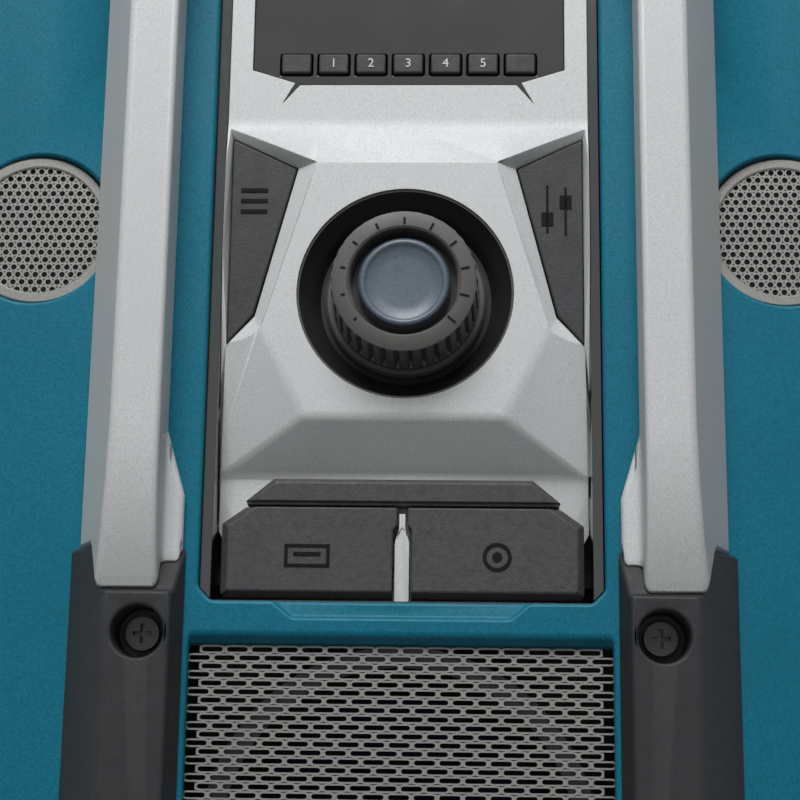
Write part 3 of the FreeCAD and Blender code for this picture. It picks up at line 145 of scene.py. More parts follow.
# Sprayed silver: metal flakes in a fine eggshell grain.
def silverPaint():
    finish = Finish("silverPaint", (0.66, 0.68, 0.685), 0.46, metallic=0.05, gloss=0.18)
    finish.tint(finish.noise(0.35, 3), (0.53, 0.55, 0.555), 0.42, 0.66)
    finish.tint(finish.noise(18, 3), (0.60, 0.62, 0.625), 0.45, 0.7, 0.5)
    finish.bump(finish.noise(0.42, 2), 0.05, 0.55)
    finish.shine(finish.noise(3.0, 3), 0.42, 0.5)
    return finish


# Moulded plastic with a spark-eroded grain of the given size.
def grainedPlastic(name, colour, dark, grain, depth, roughness, sheen=0.0, gloss=0.5):
    finish = Finish(name, colour, roughness, gloss=gloss)
    finish.tint(finish.noise(grain * 1.6, 3), dark, 0.4, 0.68)
    finish.tint(finish.noise(28, 4), dark, 0.45, 0.8, 0.45)
    finish.bump(finish.noise(grain, 2), depth)
    finish.shine(finish.noise(9, 3), roughness - 0.05, roughness + 0.06)
    finish.shader.inputs["Sheen Weight"].default_value = sheen
    return finish


# Moulded rubber with a leather-like net of fine cells.
def grainedRubber(name, colour, cell, depth, roughness, gloss=0.35):
    finish = Finish(name, colour, roughness, gloss=gloss)
    dark = tuple(0.62 * part for part in colour)
    finish.tint(finish.noise(cell * 2.4, 3), dark, 0.4, 0.7)
    finish.tint(finish.noise(22, 4), dark, 0.45, 0.8, 0.4)
    finish.bump(finish.cells(cell, feature="SMOOTH_F1"), depth, 0.8)
    finish.bump(finish.noise(cell * 0.55, 2), depth * 0.5, 0.6)
    finish.shine(finish.noise(5, 3), roughness - 0.06, roughness + 0.07)
    return finish


def glossPlastic(name, colour, roughness):
    finish = Finish(name, colour, roughness, coat=0.5)
    finish.tint(finish.noise(40, 3), tuple(1.5 * part for part in colour), 0.45, 0.75, 0.6)
    finish.shine(finish.noise(12, 4), roughness, roughness + 0.08)
    return finish


# Bare or plated steel, brushed along the given axis.
def brushedSteel(name, colour, roughness, stretch=(0.06, 1, 1)):
    finish = Finish(name, colour, roughness, metallic=1.0)
    finish.tint(finish.noise(0.5, 3, stretch), tuple(0.72 * part for part in colour), 0.4, 0.68)
    finish.bump(finish.noise(0.35, 3, stretch), 0.01, 0.5)
    finish.shine(finish.noise(4, 3), roughness - 0.05, roughness + 0.08)
    return finish


# Stamped steel sheet with a satin coat.
def coatedSteel(name, colour, roughness, metallic):
    finish = Finish(name, colour, roughness, metallic=metallic)
    finish.tint(finish.noise(0.6, 3), tuple(0.78 * part for part in colour), 0.42, 0.7)
    finish.tint(finish.noise(25, 4), tuple(0.8 * part for part in colour), 0.45, 0.8, 0.5)
    finish.bump(finish.noise(0.5, 2), 0.02, 0.6)
    finish.shine(finish.noise(6, 3), roughness - 0.05, roughness + 0.07)
    return finish


# A near-black woven cone. The blue cast of its base colour and of its tint is a painted reflection: the
# bluish sheen seen through the grille's slots, put into the colour.
def wovenCone():
    finish = Finish("wovenCone", (0.010, 0.012, 0.026), 0.75, gloss=0.2)
    finish.tint(finish.noise(0.8, 4), (0.018, 0.021, 0.04), 0.4, 0.7)
    finish.bump(finish.cells(0.9), 0.15, 0.8)
    return finish


def circuitBoard():
    finish = Finish("circuitBoard", (0.008, 0.016, 0.012), 0.45, gloss=0.3)
    finish.tint(finish.cells(3.5, feature="DISTANCE_TO_EDGE"), (0.016, 0.034, 0.024), 0.0, 0.08)
    finish.bump(finish.cells(3.5, feature="DISTANCE_TO_EDGE"), 0.04, 0.5)
    return finish


finishes = {
    "silver_paint": silverPaint(),
    "teal_plastic": grainedPlastic("tealPlastic", (0.004, 0.165, 0.25), (0.002, 0.115, 0.18), 0.4, 0.05, 0.5,
                                   gloss=0.22),
    "dark_grey_plastic": grainedPlastic("greyPlastic", (0.05, 0.052, 0.056), (0.034, 0.035, 0.038),
                                        0.6, 0.06, 0.55),
    "black_plastic": grainedPlastic("blackPlastic", (0.022, 0.021, 0.021), (0.013, 0.013, 0.013),
                                    0.35, 0.02, 0.42),
    "key_plastic": grainedRubber("keyPlastic", (0.032, 0.033, 0.036), 0.55, 0.05, 0.55),
    "cover_rubber": grainedRubber("coverRubber", (0.06, 0.06, 0.063), 0.6, 0.07, 0.58),
    "boot_rubber": grainedRubber("bootRubber", (0.015, 0.016, 0.018), 0.45, 0.04, 0.6),
    "knob_rubber": grainedPlastic("knobRubber", (0.058, 0.056, 0.053), (0.042, 0.04, 0.038), 0.3, 0.015, 0.5,
                                  sheen=0.15),
    "seal_rubber": grainedRubber("sealRubber", (0.009, 0.009, 0.009), 0.5, 0.03, 0.65, gloss=0.1),
    "blue_grey_cap": grainedPlastic("capPlastic", (0.085, 0.115, 0.15), (0.06, 0.085, 0.112), 0.5, 0.02, 0.4),
    "gloss_black": glossPlastic("glossBlack", (0.012, 0.013, 0.014), 0.12),
    "smoked_lens": glossPlastic("smokedLens", (0.006, 0.007, 0.009), 0.05),
    "lcd": glossPlastic("lcdGlass", (0.08, 0.1, 0.085), 0.25),
    "circuit_board": circuitBoard(),
    "bright_steel": brushedSteel("brightSteel", (0.62, 0.62, 0.63), 0.3),
    "grille_steel": coatedSteel("grilleSteel", (0.24, 0.236, 0.225), 0.42, 0.4),
    "basket_steel": coatedSteel("basketSteel", (0.012, 0.013, 0.018), 0.6, 0.0),
    "black_steel": coatedSteel("blackSteel", (0.03, 0.03, 0.032), 0.38, 0.5),
    "cone_fabric": wovenCone(),
}
print("finishes made:", len(finishes))


def dress(piece, slot):
    piece.data.materials.clear()
    piece.data.materials.append(finishes[slot].material)


def shade(mesh, angle):
    mesh.shade_smooth()
    mesh.set_sharp_from_angle(angle=math.radians(angle))


# Turns a finished bmesh into a piece that rides with its node, and may stand in for CAD nodes.
def makePiece(name, bm, place, node, slot=None, replaces=(), angle=35):
    bmesh.ops.recalc_face_normals(bm, faces=bm.faces)
    mesh = bpy.data.meshes.new(name)
    bm.to_mesh(mesh)
    bm.free()
    mesh.transform(place)
    shade(mesh, angle)
    piece = bpy.data.objects.new(name, mesh)
    bpy.context.scene.collection.objects.link(piece)
    dress(piece, slot or slotOf[node])
    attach(piece, frame["nodes"][node]["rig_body"])
    for each in replaces:
        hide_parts(each)
    return piece


# Rounds the edges that turn by more than the angle.
def soften(piece, width, segments=3, angle=25):
    bevel = piece.modifiers.new("softEdges", "BEVEL")
    bevel.limit_method = "ANGLE"
    bevel.angle_limit = math.radians(angle)
    bevel.width = width * mm
    bevel.segments = segments
    bevel.use_clamp_overlap = False
    bevel.miter_outer = "MITER_ARC"


# A cut square to a world axis, or to the slope of the panel.
def cutAcross(bm, axis, spot):
    if axis == "slope":
        normal = (panelFrame.to_3x3() @ Vector((0, 1, 0))).normalized()
        point = panelFrame @ Vector((0, spot, 0))
    else:
        normal = Vector([each == axis for each in "xyz"])
        point = normal * spot * mm
    found = bmesh.ops.bisect_plane(bm, geom=bm.verts[:] + bm.edges[:] + bm.faces[:], dist=1e-7,
                                   plane_co=point, plane_no=normal)
    for edge in found["geom_cut"]:
        if isinstance(edge, bmesh.types.BMEdge):
            edge.seam = True


# Chamfers or rounds the edges that the test picks by their middle in the panel frame and their angle.
def bevelSome(bm, test, offset, segments):
    toPanel = panelFrame.inverted()
    picked = []
    for edge in bm.edges:
        if len(edge.link_faces) == 2 and not edge.seam:
            middle = toPanel @ ((edge.verts[0].co + edge.verts[1].co) / 2)
            if test(middle, math.degrees(edge.calc_face_angle(0))):
                picked.append(edge)
    bmesh.ops.bevel(bm, geom=picked, offset=offset * mm, offset_type="OFFSET", segments=segments, profile=0.5,
                    affect="EDGES", clamp_overlap=False, material=-1, loop_slide=True)


merging = {"before": 0.002, "after": 0.01, "flat": 0.6, "sharp": 25}


# A node's own shape with its facets merged and its edges rounded. The cuts run through its holes, so that no
# merged face has a hole in it.
def softCopy(node, name, width, cuts, bevels, mould=None):
    bm = bmesh.new()
    bm.from_mesh(frame["nodes"][node].data)
    bmesh.ops.remove_doubles(bm, verts=bm.verts, dist=merging["before"] * mm)
    for axis, spots in cuts:
        for spot in spots:
            cutAcross(bm, axis, spot)
    bmesh.ops.remove_doubles(bm, verts=bm.verts, dist=merging["after"] * mm)
    bmesh.ops.dissolve_limit(bm, angle_limit=math.radians(merging["flat"]), verts=bm.verts, edges=bm.edges,
                             delimit={"SEAM"})
    for test, offset, steps in bevels:
        bevelSome(bm, test, offset, steps)
    if mould:
        mould(bm)
    piece = makePiece(name, bm, Matrix.Identity(4), node, replaces=[node], angle=merging["sharp"])
    soften(piece, width, angle=merging["sharp"])


# Which edges of the panel, the port covers and their strip are wide folds or chamfers.
def panelFold(middle, turn):
    x, up = abs(middle.x), middle.y
    onFace = up > 45 or (up < -12 and x < 36 and middle.z > -9.5)
    return 6 < turn < 40 and onFace


def coverRim(middle, turn):
    outerSide = abs(middle.x) > 40.5 and middle.y < -53.8
    return turn > 30 and middle.z > -3.2 and (outerSide or middle.y < -75)


def stripRim(middle, turn):
    slantedEnd = abs(middle.x) > 32 and middle.y > -51.5
    return turn > 30 and middle.z > -4.2 and (middle.y > -46.8 or slantedEnd)


bend = {"start": 36, "end": 75.5, "rough": ((0, 0), (14, 1.2), (28, 3.7)), "steps": 12, "power": 2.1,
        "near": 0.25}


# Turns the three flats at the lower end of a pillar into one round bend.
def roundBend(bm):
    toPanel = panelFrame.inverted()
    spots = [(vert, toPanel @ vert.co) for vert in bm.verts]
    front = max(spot.z for _, spot in spots)
    length = bend["end"] - bend["start"]
    low = max(spot.z for _, spot in spots if abs(spot.y + bend["end"]) < 0.3)
    points = [*bend["rough"], (length, front - low)]
    for vert, spot in spots:
        along = -spot.y - bend["start"]
        if 0 < along < length:
            (a, dropA), (b, dropB) = next((one, two) for one, two in zip(points, points[1:])
                                          if along <= two[0] + 1e-6)
            flatDrop = dropA + (dropB - dropA) * (along - a) / (b - a)
            if abs(spot.z - (front - flatDrop)) < bend["near"]:
                roundDrop = (front - low) * (along / length) ** bend["power"]
                vert.co = panelFrame @ Vector((spot.x, spot.y, front - roundDrop))


# Cuts through a node: an axis and the places on it, in mm.
across = [("x", (-96, -61.5, 0, 61.5, 96))]
bendLine = [("slope", [-bend["start"] - (bend["end"] - bend["start"]) * i / bend["steps"]
                       for i in range(1, bend["steps"])])]
keyRow = [("x", (-28.8, -19.2, -9.6, 0, 9.6, 19.2, 28.8))]
screwLine = [("z", (114.5,))]
armLine = [("z", (266,)), ("y", (26, 74))]
# For each node: the visual piece's name, the width of its rounded edges, its cuts and its wide bevels.
softEdges = {
    "front_housing": ("frontShell", 0.8, across, ()),
    "fascia": ("controlPanel", 0.16, [("x", (-23, 0, 23))], [(panelFold, 1.3, 4)]),
    "fascia_surround": ("panelStrip", 0.25, [("x", (0,))], ()),
    "display_lens": ("displayLens", 0.3, keyRow, ()),
    "rear_housing": ("rearShell", 0.8, [("x", (-95, -12, 12, 95)), ("y", (10, 26))], ()),
    "pillar_left": ("leftPillar", 1.3, bendLine, ()),
    "pillar_right": ("rightPillar", 1.3, bendLine, ()),
    "lower_boot_left": ("leftBoot", 0.8, screwLine, ()),
    "lower_boot_right": ("rightBoot", 0.8, screwLine, ()),
    "upper_boot_left": ("leftCrown", 1.2, (), ()),
    "upper_boot_right": ("rightCrown", 1.2, (), ()),
    "rear_guards": ("cornerGuards", 1.2, (), ()),
    "handle_arm_left": ("leftArm", 1.0, armLine, ()),
    "handle_arm_right": ("rightArm", 1.0, armLine, ()),
    "battery_door": ("batteryDoor", 0.8, [("x", (0,))], ()),
    "door_latch": ("doorLatch", 0.5, (), ()),
    "dc_cover": ("mainsCover", 0.6, (), ()),
    "usb_cover": ("usbCover", 0.4, (), [(coverRim, 1.7, 1)]),
    "aux_cover": ("auxCover", 0.4, (), [(coverRim, 1.7, 1)]),
    "port_cover_strip": ("coverStrip", 0.3, (), [(stripRim, 1.1, 1)]),
    "info_button": ("infoKey", 0.4, (), ()),
    "tone_button": ("toneKey", 0.4, (), ()),
    "rubber_feet": ("rubberFeet", 1.0, (), ()),
    "aerial": ("aerialRod", 0.8, (), ()),
}
softEdges.update({node: (node.replace("_button", "Key").replace("_", ""), 0.5, (), ())
                  for node in slotOf if node.startswith(("preset", "power", "source"))})
for node, (name, width, cuts, bevels) in softEdges.items():
    softCopy(node, name, width, cuts, bevels, mould=roundBend if "Pillar" in name else None)
for node, thing in frame["nodes"].items():
    dress(thing, slotOf[node])
print("solids softened:", len(softEdges))

knob = {"foot": -7.8, "collar": 20.15, "collarTop": -5.8, "side": 18.4, "face": 17.0, "out": 10.3,
        "bowl": 13.5, "bowlFloor": 7.2, "grooveFloor": 3.4, "grooveFoot": 11.6, "bore": 3.2, "seat": 2.0,
        "flutes": 34, "fluteDepth": 1.7, "lugHalf": 0.27, "steps": 12, "capSteps": 128, "dishSteps": 160}


# Lathe work: the profile is radius and height, turned about z. An open profile starts and ends on the axis.
def spinProfile(profile, steps, closed=True):
    bm = bmesh.new()
    rim = [bm.verts.new((radius, 0, height)) for radius, height in profile]
    edges = [bm.edges.new(pair) for pair in zip(rim, rim[1:])]
    if closed:
        edges.append(bm.edges.new((rim[-1], rim[0])))
    bmesh.ops.spin(bm, geom=rim + edges, cent=(0, 0, 0), axis=(0, 0, 1), angle=math.tau, steps=steps,
                   use_merge=True)
    bmesh.ops.remove_doubles(bm, verts=bm.verts, dist=0.001)
    return bm


# The knob's body: a collar, fluted sides, a flat ring and the groove round the cap.
def makeKnob():
    k = knob
    top = k["out"]
    collar, side, face, bowl = k["collar"], k["side"], k["face"], k["bowl"]
    profile = [(k["bore"], k["foot"]), (collar - 0.6, k["foot"]), (collar, k["foot"] + 0.5),
               (collar, k["collarTop"] - 0.5), (collar - 0.5, k["collarTop"]), (side + 0.2, k["collarTop"]),
               (side - 0.1, k["collarTop"] + 0.7), (side, k["collarTop"] + 1.3), (side - 0.1, -2.0),
               (side - 0.2, 1.5), (side - 0.3, 5.0), (side - 0.4, top - 2.4), (side - 0.5, top - 1.3),
               (face + 0.8, top - 0.7), (face + 0.6, top - 0.2), (face + 0.2, top), (bowl + 0.5, top),
               (bowl, top - 0.4), (bowl - 0.5, k["grooveFloor"]), (k["grooveFoot"], k["grooveFloor"]),
               (k["grooveFoot"] - 0.1, k["bowlFloor"]), (k["seat"], k["bowlFloor"]),
               (k["seat"], k["bowlFloor"] - 1.2), (k["bore"], k["bowlFloor"] - 1.2)]
    bm = spinProfile(profile, k["flutes"] * k["steps"])
    for vert in bm.verts:
        radius = Vector(vert.co[:2]).length
        if radius > face + 0.7 and k["collarTop"] + 0.9 < vert.co.z < top - 0.6:
            phase = math.atan2(vert.co.y, vert.co.x) * k["flutes"] / math.tau % 1
            dip = max(0.0, min(1.0, (abs(phase - 0.5) - k["lugHalf"]) * 9))
            fade = 1.0 if vert.co.z < top - 1.0 else 0.3
            vert.co.x *= 1 - k["fluteDepth"] * dip * fade / radius
            vert.co.y *= 1 - k["fluteDepth"] * dip * fade / radius
    makePiece("knobBody", bm, panelFrame, "tuning_knob", replaces=["tuning_knob"], angle=28)


# The cap, with its raised ring.
def makeCap():
    floor = knob["bowlFloor"]
    profile = [(0, floor), (11.4, floor), (11.45, floor + 0.6), (11.1, floor + 1.4), (10.7, floor + 1.9),
               (10.2, floor + 2.1), (9.7, floor + 1.95), (9.35, floor + 1.55), (9.1, floor + 1.35),
               (6, floor + 1.2), (3, floor + 1.12), (0, floor + 1.1)]
    bm = spinProfile(profile, knob["capSteps"], closed=False)
    makePiece("knobCap", bm, panelFrame, "knob_cap", replaces=["knob_cap"], angle=60)


# The bowl of the panel in which the knob sits.
def makeDish():
    profile = [(3.9, -10.2), (3.9, -9), (20.4, -9), (21.6, -8.6), (26.0, -1.4), (26.45, -0.55), (26.9, -0.5),
               (26.9, -2.2), (22.5, -10.2)]
    bm = spinProfile(profile, knob["dishSteps"])
    makePiece("knobDish", bm, panelFrame, "knob_dish", replaces=["knob_dish"], angle=40)


makeKnob()
makeCap()
makeDish()

grille = {"half": 53.4, "bottom": -183.0, "top": -84.3, "level": -3.1, "thick": 1.0, "pitch": 6.0, "row": 2.0,
          "slotLong": 5.0, "slotHigh": 1.15, "margin": 1.0, "ends": 4}


# One tile of the sheet, with a long slot in its middle. The slot's round ends reach to the tile's sides.
def slotTile(bm, x, y):
    g = grille
    halfTile, halfRow = g["pitch"] / 2, g["row"] / 2
    radius, reach = g["slotHigh"] / 2, (g["slotLong"] - g["slotHigh"]) / 2
    right = [(x + reach + radius * math.cos(turn), y + radius * math.sin(turn))
             for turn in (math.radians(-90 + 180 * i / g["ends"]) for i in range(g["ends"] + 1))]
    slot = right + [(2 * x - a, 2 * y - b) for a, b in right]
    ring = []
    for a, b in slot:
        if abs(b - y) < radius * 0.99:
            ring.append((x + math.copysign(halfTile, a - x), y + (b - y) / radius * halfRow))
        else:
            ring.append((a, y + math.copysign(halfRow, b - y)))
    inner = [bm.verts.new((a, b, 0)) for a, b in slot]
    outer = [bm.verts.new((a, b, 0)) for a, b in ring]
    for i in range(len(inner)):
        j = (i + 1) % len(inner)
        bm.faces.new((inner[i], outer[i], outer[j], inner[j]))


def makeGrille():
    g = grille
    bm = bmesh.new()
    rows = int((g["top"] - g["bottom"] - 2 * g["margin"]) / g["row"])
    columns = int((2 * g["half"] - 2 * g["margin"]) / g["pitch"])
    startX = -columns * g["pitch"] / 2
    for row in range(rows):
        y = g["top"] - g["margin"] - (row + 0.5) * g["row"]
        shift = g["pitch"] / 2 if row % 2 else 0
        for column in range(columns - row % 2):
            slotTile(bm, startX + (column + 0.5) * g["pitch"] + shift, y)
    bmesh.ops.remove_doubles(bm, verts=bm.verts, dist=0.01)
    extruded = bmesh.ops.extrude_face_region(bm, geom=bm.faces[:])
    lifted = [v for v in extruded["geom"] if isinstance(v, bmesh.types.BMVert)]
    bmesh.ops.translate(bm, verts=lifted, vec=(0, 0, g["thick"]))
    place = panelFrame @ Matrix.Translation((0, 0, g["level"]))
    makePiece("speakerGrille", bm, place, "woofer_grille", replaces=["woofer_grille"], angle=30)


makeGrille()

sideGrille = {"x": 96, "up": 20, "radius": 19.9, "inner": 17.0, "level": -13.4, "pitch": 2.3, "hole": 0.75,
              "rows": 0.87, "cell": 0.502, "sides": 12, "sheet": 0.9, "under": 0.3, "steps": 72}


# One six-sided cell of the sheet with a round hole in its middle.
def roundHole(bm, x, y):
    g = sideGrille
    turns = [math.tau * i / g["sides"] + math.pi / g["sides"] for i in range(g["sides"])]
    hole = [(x + g["hole"] * math.cos(turn), y + g["hole"] * math.sin(turn)) for turn in turns]
    edge = []
    for a, b in hole:
        turn = math.atan2(b - y, a - x)
        sector = (turn + math.pi / 6) % (math.pi / 3) - math.pi / 6
        far = g["pitch"] * g["cell"] / math.cos(sector)
        edge.append((x + far * math.cos(turn), y + far * math.sin(turn)))
    inner = [bm.verts.new((a, b, g["sheet"])) for a, b in hole]
    outer = [bm.verts.new((a, b, g["sheet"])) for a, b in edge]
    low = [bm.verts.new((a, b, g["under"])) for a, b in hole]
    for i in range(g["sides"]):
        j = (i + 1) % g["sides"]
        bm.faces.new((inner[i], inner[j], outer[j], outer[i]))
        bm.faces.new((inner[i], low[i], low[j], inner[j]))


# A dished ring with a sheet of round holes in it, on either wing.
def makeSideGrilles():
    g = sideGrille
    reach = int(g["radius"] / g["pitch"]) + 1
    for side, sign in (("left", -1), ("right", 1)):
        bm = spinProfile([(g["inner"], 0), (g["radius"], 0), (g["radius"], 1.0), (g["radius"] - 0.5, 1.4),
                          (g["inner"] + 0.4, 1.4), (g["inner"], 1.1)], g["steps"])
        for row in range(-reach, reach + 1):
            for column in range(-reach, reach + 1):
                spot = Vector(((column + (row % 2) / 2) * g["pitch"], row * g["pitch"] * g["rows"]))
                if spot.length < g["inner"] + 0.6:
                    roundHole(bm, spot.x, spot.y)
        place = panelFrame @ Matrix.Translation((sign * g["x"], g["up"], g["level"]))
        makePiece("sideGrille." + side, bm, place, "side_grilles", replaces=["side_grilles"], angle=30)


makeSideGrilles()

signs = {"slot": "seal_rubber", "height": 0.16, "keyLevel": -2.45, "coverLevel": -2.95,
         "sliderX": (35.5, 40.1), "sliderUp": ((16.3, 28.9), (15.6, 28.4)), "sliderHalf": 0.3,
         "blocks": (19.9, 24.4), "blockHalf": (1.5, 1.8), "bars": (27.4, 24.6, 21.8), "barX": -38.6,
         "barHalf": (3.4, 0.55), "jack": (23, -65.5), "jackRings": ((2.6, 3.5), (0.1, 1.2)), "steps": 40,
         "port": ((-28.5, -63.5, -17.5, -62.7), (-28.5, -68.3, -17.5, -67.5), (-28.5, -67.5, -27.7, -63.5),
                  (-18.3, -67.5, -17.5, -63.5), (-26.3, -65.6, -19.7, -64.6))}
ticks = {"count": 11, "first": 220, "step": 26, "radius": 15.2, "long": 0.9, "grow": 0.16, "wide": 0.55}
digits = {"count": 5, "size": 3.4, "pitch": 9.6, "up": 61.5, "level": -1.3, "slot": "silver_paint"}


# Flat signs: bars are left, bottom, right, top, on a face at the given level.
def makeBars(name, bars, level, node):
    bm = bmesh.new()
    for left, bottom, right, top in bars:
        place = (Matrix.Translation(((left + right) / 2, (bottom + top) / 2, level))
                 @ Matrix.Diagonal((right - left, top - bottom, 2 * signs["height"], 1)))
        bmesh.ops.create_cube(bm, size=1, matrix=place)
    soften(makePiece(name, bm, panelFrame, node, slot=signs["slot"]), 0.06, 1)


def makeRings(name, spot, rings, level, node):
    bm = bmesh.new()
    h = signs["height"]
    for inner, outer in rings:
        ring = spinProfile([(inner, -h), (outer, -h), (outer, h), (inner, h)], signs["steps"])
        mesh = bpy.data.meshes.new("ring")
        ring.to_mesh(mesh)
        ring.free()
        mesh.transform(Matrix.Translation((*spot, level)))
        bm.from_mesh(mesh)
        bpy.data.meshes.remove(mesh)
    makePiece(name, bm, panelFrame, node, slot=signs["slot"])


def makeSigns():
    s = signs
    wide, high = s["blockHalf"]
    sliders = []
    for x, (low, top), block in zip(s["sliderX"], s["sliderUp"], s["blocks"]):
        sliders += [(x - s["sliderHalf"], low, x + s["sliderHalf"], top),
                    (x - wide, block - high, x + wide, block + high)]
    makeBars("sliderSign", sliders, s["keyLevel"], "tone_button")
    wide, high = s["barHalf"]
    menu = [(s["barX"] - wide, up - high, s["barX"] + wide, up + high) for up in s["bars"]]
    makeBars("menuSign", menu, s["keyLevel"], "info_button")
    makeBars("portSign", s["port"], s["coverLevel"], "usb_cover")
    makeRings("jackSign", s["jack"], s["jackRings"], s["coverLevel"], "aux_cover")


# Marks on the knob's ring that grow with the volume.
def makeTicks():
    t = ticks
    bm = bmesh.new()
    for i in range(t["count"]):
        turn = math.radians(t["first"] - t["step"] * i)
        size = (t["long"] + t["grow"] * i, t["wide"], 2 * signs["height"], 1)
        place = (Matrix.Rotation(turn, 4, "Z") @ Matrix.Translation((t["radius"], 0, knob["out"]))
                 @ Matrix.Diagonal(size))
        bmesh.ops.create_cube(bm, size=1, matrix=place)
    makePiece("knobTicks", bm, panelFrame, "tuning_knob", slot=signs["slot"])


# The plain numbers on the preset keys.
def makeDigits():
    d = digits
    for index in range(1, d["count"] + 1):
        curve = bpy.data.curves.new(f"digit{index}", "FONT")
        curve.body = str(index)
        curve.size = d["size"]
        curve.extrude = signs["height"]
        curve.align_x = "CENTER"
        curve.align_y = "CENTER"
        holder = bpy.data.objects.new(f"digit{index}", curve)
        bpy.context.scene.collection.objects.link(holder)
        mesh = bpy.data.meshes.new_from_object(holder.evaluated_get(bpy.context.evaluated_depsgraph_get()))
        bpy.data.objects.remove(holder)
        bm = bmesh.new()
        bm.from_mesh(mesh)
        bpy.data.meshes.remove(mesh)
        bmesh.ops.remove_doubles(bm, verts=bm.verts, dist=0.001)
        middle = (d["count"] + 1) / 2
        place = panelFrame @ Matrix.Translation(((index - middle) * d["pitch"], d["up"], d["level"]))
        makePiece(f"presetDigit{index}", bm, place, f"preset_button_{index}", slot=d["slot"])


makeSigns()
makeTicks()
makeDigits()
print("control panel dressed")

grip = {"y": 74, "z": 266.007, "half": 122.4, "radius": 10.9, "core": 6.0, "ribZone": 88, "ribPitch": 4.4,
        "ribDepth": 0.7, "steps": 64}


# The rubber sleeve of the handle, with rounded ends and rings round its middle.
def makeGrip():
    g = grip
    profile = [(g["core"], -g["half"]), (g["radius"] - 1.4, -g["half"]),
               (g["radius"] - 0.4, -g["half"] + 0.5), (g["radius"], -g["half"] + 1.6)]
    ribs = int(2 * g["ribZone"] / g["ribPitch"])
    for i in range(ribs + 1):
        middle = -g["ribZone"] + i * g["ribPitch"]
        profile += [(g["radius"], middle - 1.2), (g["radius"] - g["ribDepth"], middle - 0.6),
                    (g["radius"] - g["ribDepth"], middle + 0.6), (g["radius"], middle + 1.2)]
    profile += [(g["radius"], g["half"] - 1.6), (g["radius"] - 0.4, g["half"] - 0.5),
                (g["radius"] - 1.4, g["half"]), (g["core"], g["half"])]
    bm = spinProfile(profile, g["steps"])
    place = worldFrame @ Matrix.Translation((0, g["y"], g["z"])) @ Matrix.Rotation(math.radians(90), 4, "Y")
    makePiece("handleSleeve", bm, place, "handle_grip", replaces=["handle_grip"], angle=25)


makeGrip()
print("handle dressed")

doorRibs = {"count": 7, "half": 34, "pitch": 7, "wide": 2.2, "high": 0.5, "drop": 62, "sunk": 0.2}


# Raised ribs for the fingers on the battery door.
def makeDoorRibs():
    d = doorRibs
    door = frame["nodes"]["battery_door"]
    corners = [door.matrix_world @ Vector(corner) / mm for corner in door.bound_box]
    back = max(corner.y for corner in corners)
    top = max(corner.z for corner in corners) - d["drop"]
    bm = bmesh.new()
    for i in range(d["count"]):
        place = (Matrix.Translation((0, back - d["sunk"], top - i * d["pitch"]))
                 @ Matrix.Diagonal((2 * d["half"], 2 * d["high"], d["wide"], 1)))
        bmesh.ops.create_cube(bm, size=1, matrix=place)
    soften(makePiece("doorRibs", bm, worldFrame, "battery_door"), 0.35, 2)


makeDoorRibs()
print("back dressed")

# Each lamp has its spot in metres, its size and its power.
stage = {"floorColour": (0.83, 0.83, 0.83), "floorSize": 8.0, "floorBounce": 0.05, "fadeFrom": 0.45,
         "fadeTo": 1.5, "worldLight": 0.14, "lowSky": (0.06, 0.06, 0.065), "skyTop": 0.7,
         "lamps": {"keyLamp": ((-0.1, -0.66, 1.6), 0.9, 28.0), "rearLamp": ((0.35, 1.25, 1.15), 1.2, 15.0)}}


# A value that is one for a camera ray, and for a reflected or refracted one.
def backgroundRay(tree):
    path = tree.nodes.new("ShaderNodeLightPath")
    most = path.outputs["Is Camera Ray"]
    for name in ("Is Glossy Ray", "Is Transmission Ray"):
        larger = tree.nodes.new("ShaderNodeMath")
        larger.operation = "MAXIMUM"
        tree.links.new(most, larger.inputs[0])
        tree.links.new(path.outputs[name], larger.inputs[1])
        most = larger.outputs[0]
    return most


# The floor turns white with the distance, and throws little light back on the radio.
def makeFloor():
    bm = bmesh.new()
    bmesh.ops.create_grid(bm, x_segments=1, y_segments=1, size=stage["floorSize"] / 2)
    mesh = bpy.data.meshes.new("studioFloor")
    bm.to_mesh(mesh)
    bm.free()
    floor = bpy.data.objects.new("studioFloor", mesh)
    bpy.context.scene.collection.objects.link(floor)
    finish = Finish("studioFloor", stage["floorColour"], 0.7)
    finish.tint(finish.noise(60, 3), tuple(0.97 * part for part in stage["floorColour"]), 0.4, 0.7)
    reach = finish.node("ShaderNodeVectorMath", operation="LENGTH")
    finish.link(finish.coords, reach.inputs[0])
    fade = finish.node("ShaderNodeMapRange", interpolation_type="SMOOTHSTEP")
    fade.inputs["From Min"].default_value = stage["fadeFrom"]
    fade.inputs["From Max"].default_value = stage["fadeTo"]
    finish.link(reach.outputs["Value"], fade.inputs["Value"])
    white = finish.node("ShaderNodeEmission", Strength=1.0)
    dark = finish.node("ShaderNodeBsdfDiffuse")
    dark.inputs["Color"].default_value = (*(stage["floorBounce"],) * 3, 1)
    far = finish.node("ShaderNodeMixShader")
    seen = finish.node("ShaderNodeMixShader")
    finish.link(fade.outputs["Result"], far.inputs[0])
    finish.link(finish.shader.outputs[0], far.inputs[1])
    finish.link(white.outputs[0], far.inputs[2])
    finish.link(backgroundRay(finish.tree), seen.inputs[0])
    finish.link(dark.outputs[0], seen.inputs[1])
    finish.link(far.outputs[0], seen.inputs[2])
    finish.link(seen.outputs[0], finish.tree.nodes["Material Output"].inputs["Surface"])
    floor.data.materials.append(finish.material)


def areaLamp(name, spot, size, power, target=(0, 0, 0.16)):
    data = bpy.data.lights.new(name, "AREA")
    data.shape = "SQUARE"
    data.size = size
    data.energy = power
    lamp = bpy.data.objects.new(name, data)
    lamp.location = spot
    lamp.rotation_euler = (Vector(target) - Vector(spot)).to_track_quat("-Z", "Y").to_euler()
    bpy.context.scene.collection.objects.link(lamp)


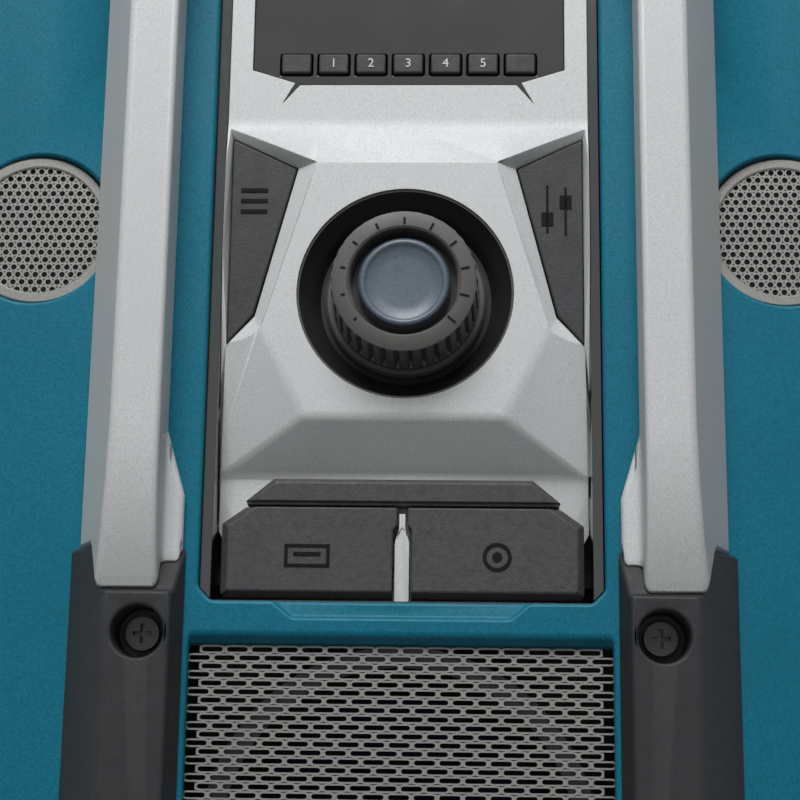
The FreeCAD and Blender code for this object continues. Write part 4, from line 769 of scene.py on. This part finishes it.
# The sky is white to the eye and a soft grey gradient as a light.
def makeWorld():
    world = bpy.data.worlds.new("studio")
    bpy.context.scene.world = world
    world.use_nodes = True
    tree = world.node_tree
    soft = tree.nodes["Background"]
    soft.inputs["Strength"].default_value = stage["worldLight"]
    white = tree.nodes.new("ShaderNodeBackground")
    white.inputs["Color"].default_value = (1, 1, 1, 1)
    white.inputs["Strength"].default_value = 1.0
    mix = tree.nodes.new("ShaderNodeMixShader")
    tree.links.new(backgroundRay(tree), mix.inputs["Fac"])
    coords = tree.nodes.new("ShaderNodeTexCoord")
    split = tree.nodes.new("ShaderNodeSeparateXYZ")
    ramp = tree.nodes.new("ShaderNodeValToRGB")
    tree.links.new(coords.outputs["Generated"], split.inputs["Vector"])
    tree.links.new(split.outputs["Z"], ramp.inputs["Fac"])
    ramp.color_ramp.elements[0].color = (*stage["lowSky"], 1)
    ramp.color_ramp.elements[1].color = (1, 1, 1, 1)
    ramp.color_ramp.elements[1].position = stage["skyTop"]
    tree.links.new(ramp.outputs["Color"], soft.inputs["Color"])
    tree.links.new(soft.outputs["Background"], mix.inputs[1])
    tree.links.new(white.outputs["Background"], mix.inputs[2])
    tree.links.new(mix.outputs["Shader"], tree.nodes["World Output"].inputs["Surface"])


# The camera's spot is in mm and its turn in degrees.
view = {"spot": (13.35, -449.32, 184.72), "turn": (87.6388, -0.2788, 1.9608), "lens": 76.9, "sensor": 36.0}


def makeCamera():
    data = bpy.data.cameras.new("photoCamera")
    data.lens = view["lens"]
    data.sensor_width = view["sensor"]
    data.clip_start = 0.01
    camera = bpy.data.objects.new("photoCamera", data)
    camera.location = Vector(view["spot"]) * mm
    camera.rotation_euler = Euler([math.radians(turn) for turn in view["turn"]], "XYZ")
    bpy.context.scene.collection.objects.link(camera)
    bpy.context.scene.camera = camera


makeFloor()
for name, (spot, size, power) in stage["lamps"].items():
    areaLamp(name, spot, size, power)
makeWorld()
makeCamera()
bpy.context.scene.view_settings.view_transform = "Standard"
print("stage set")
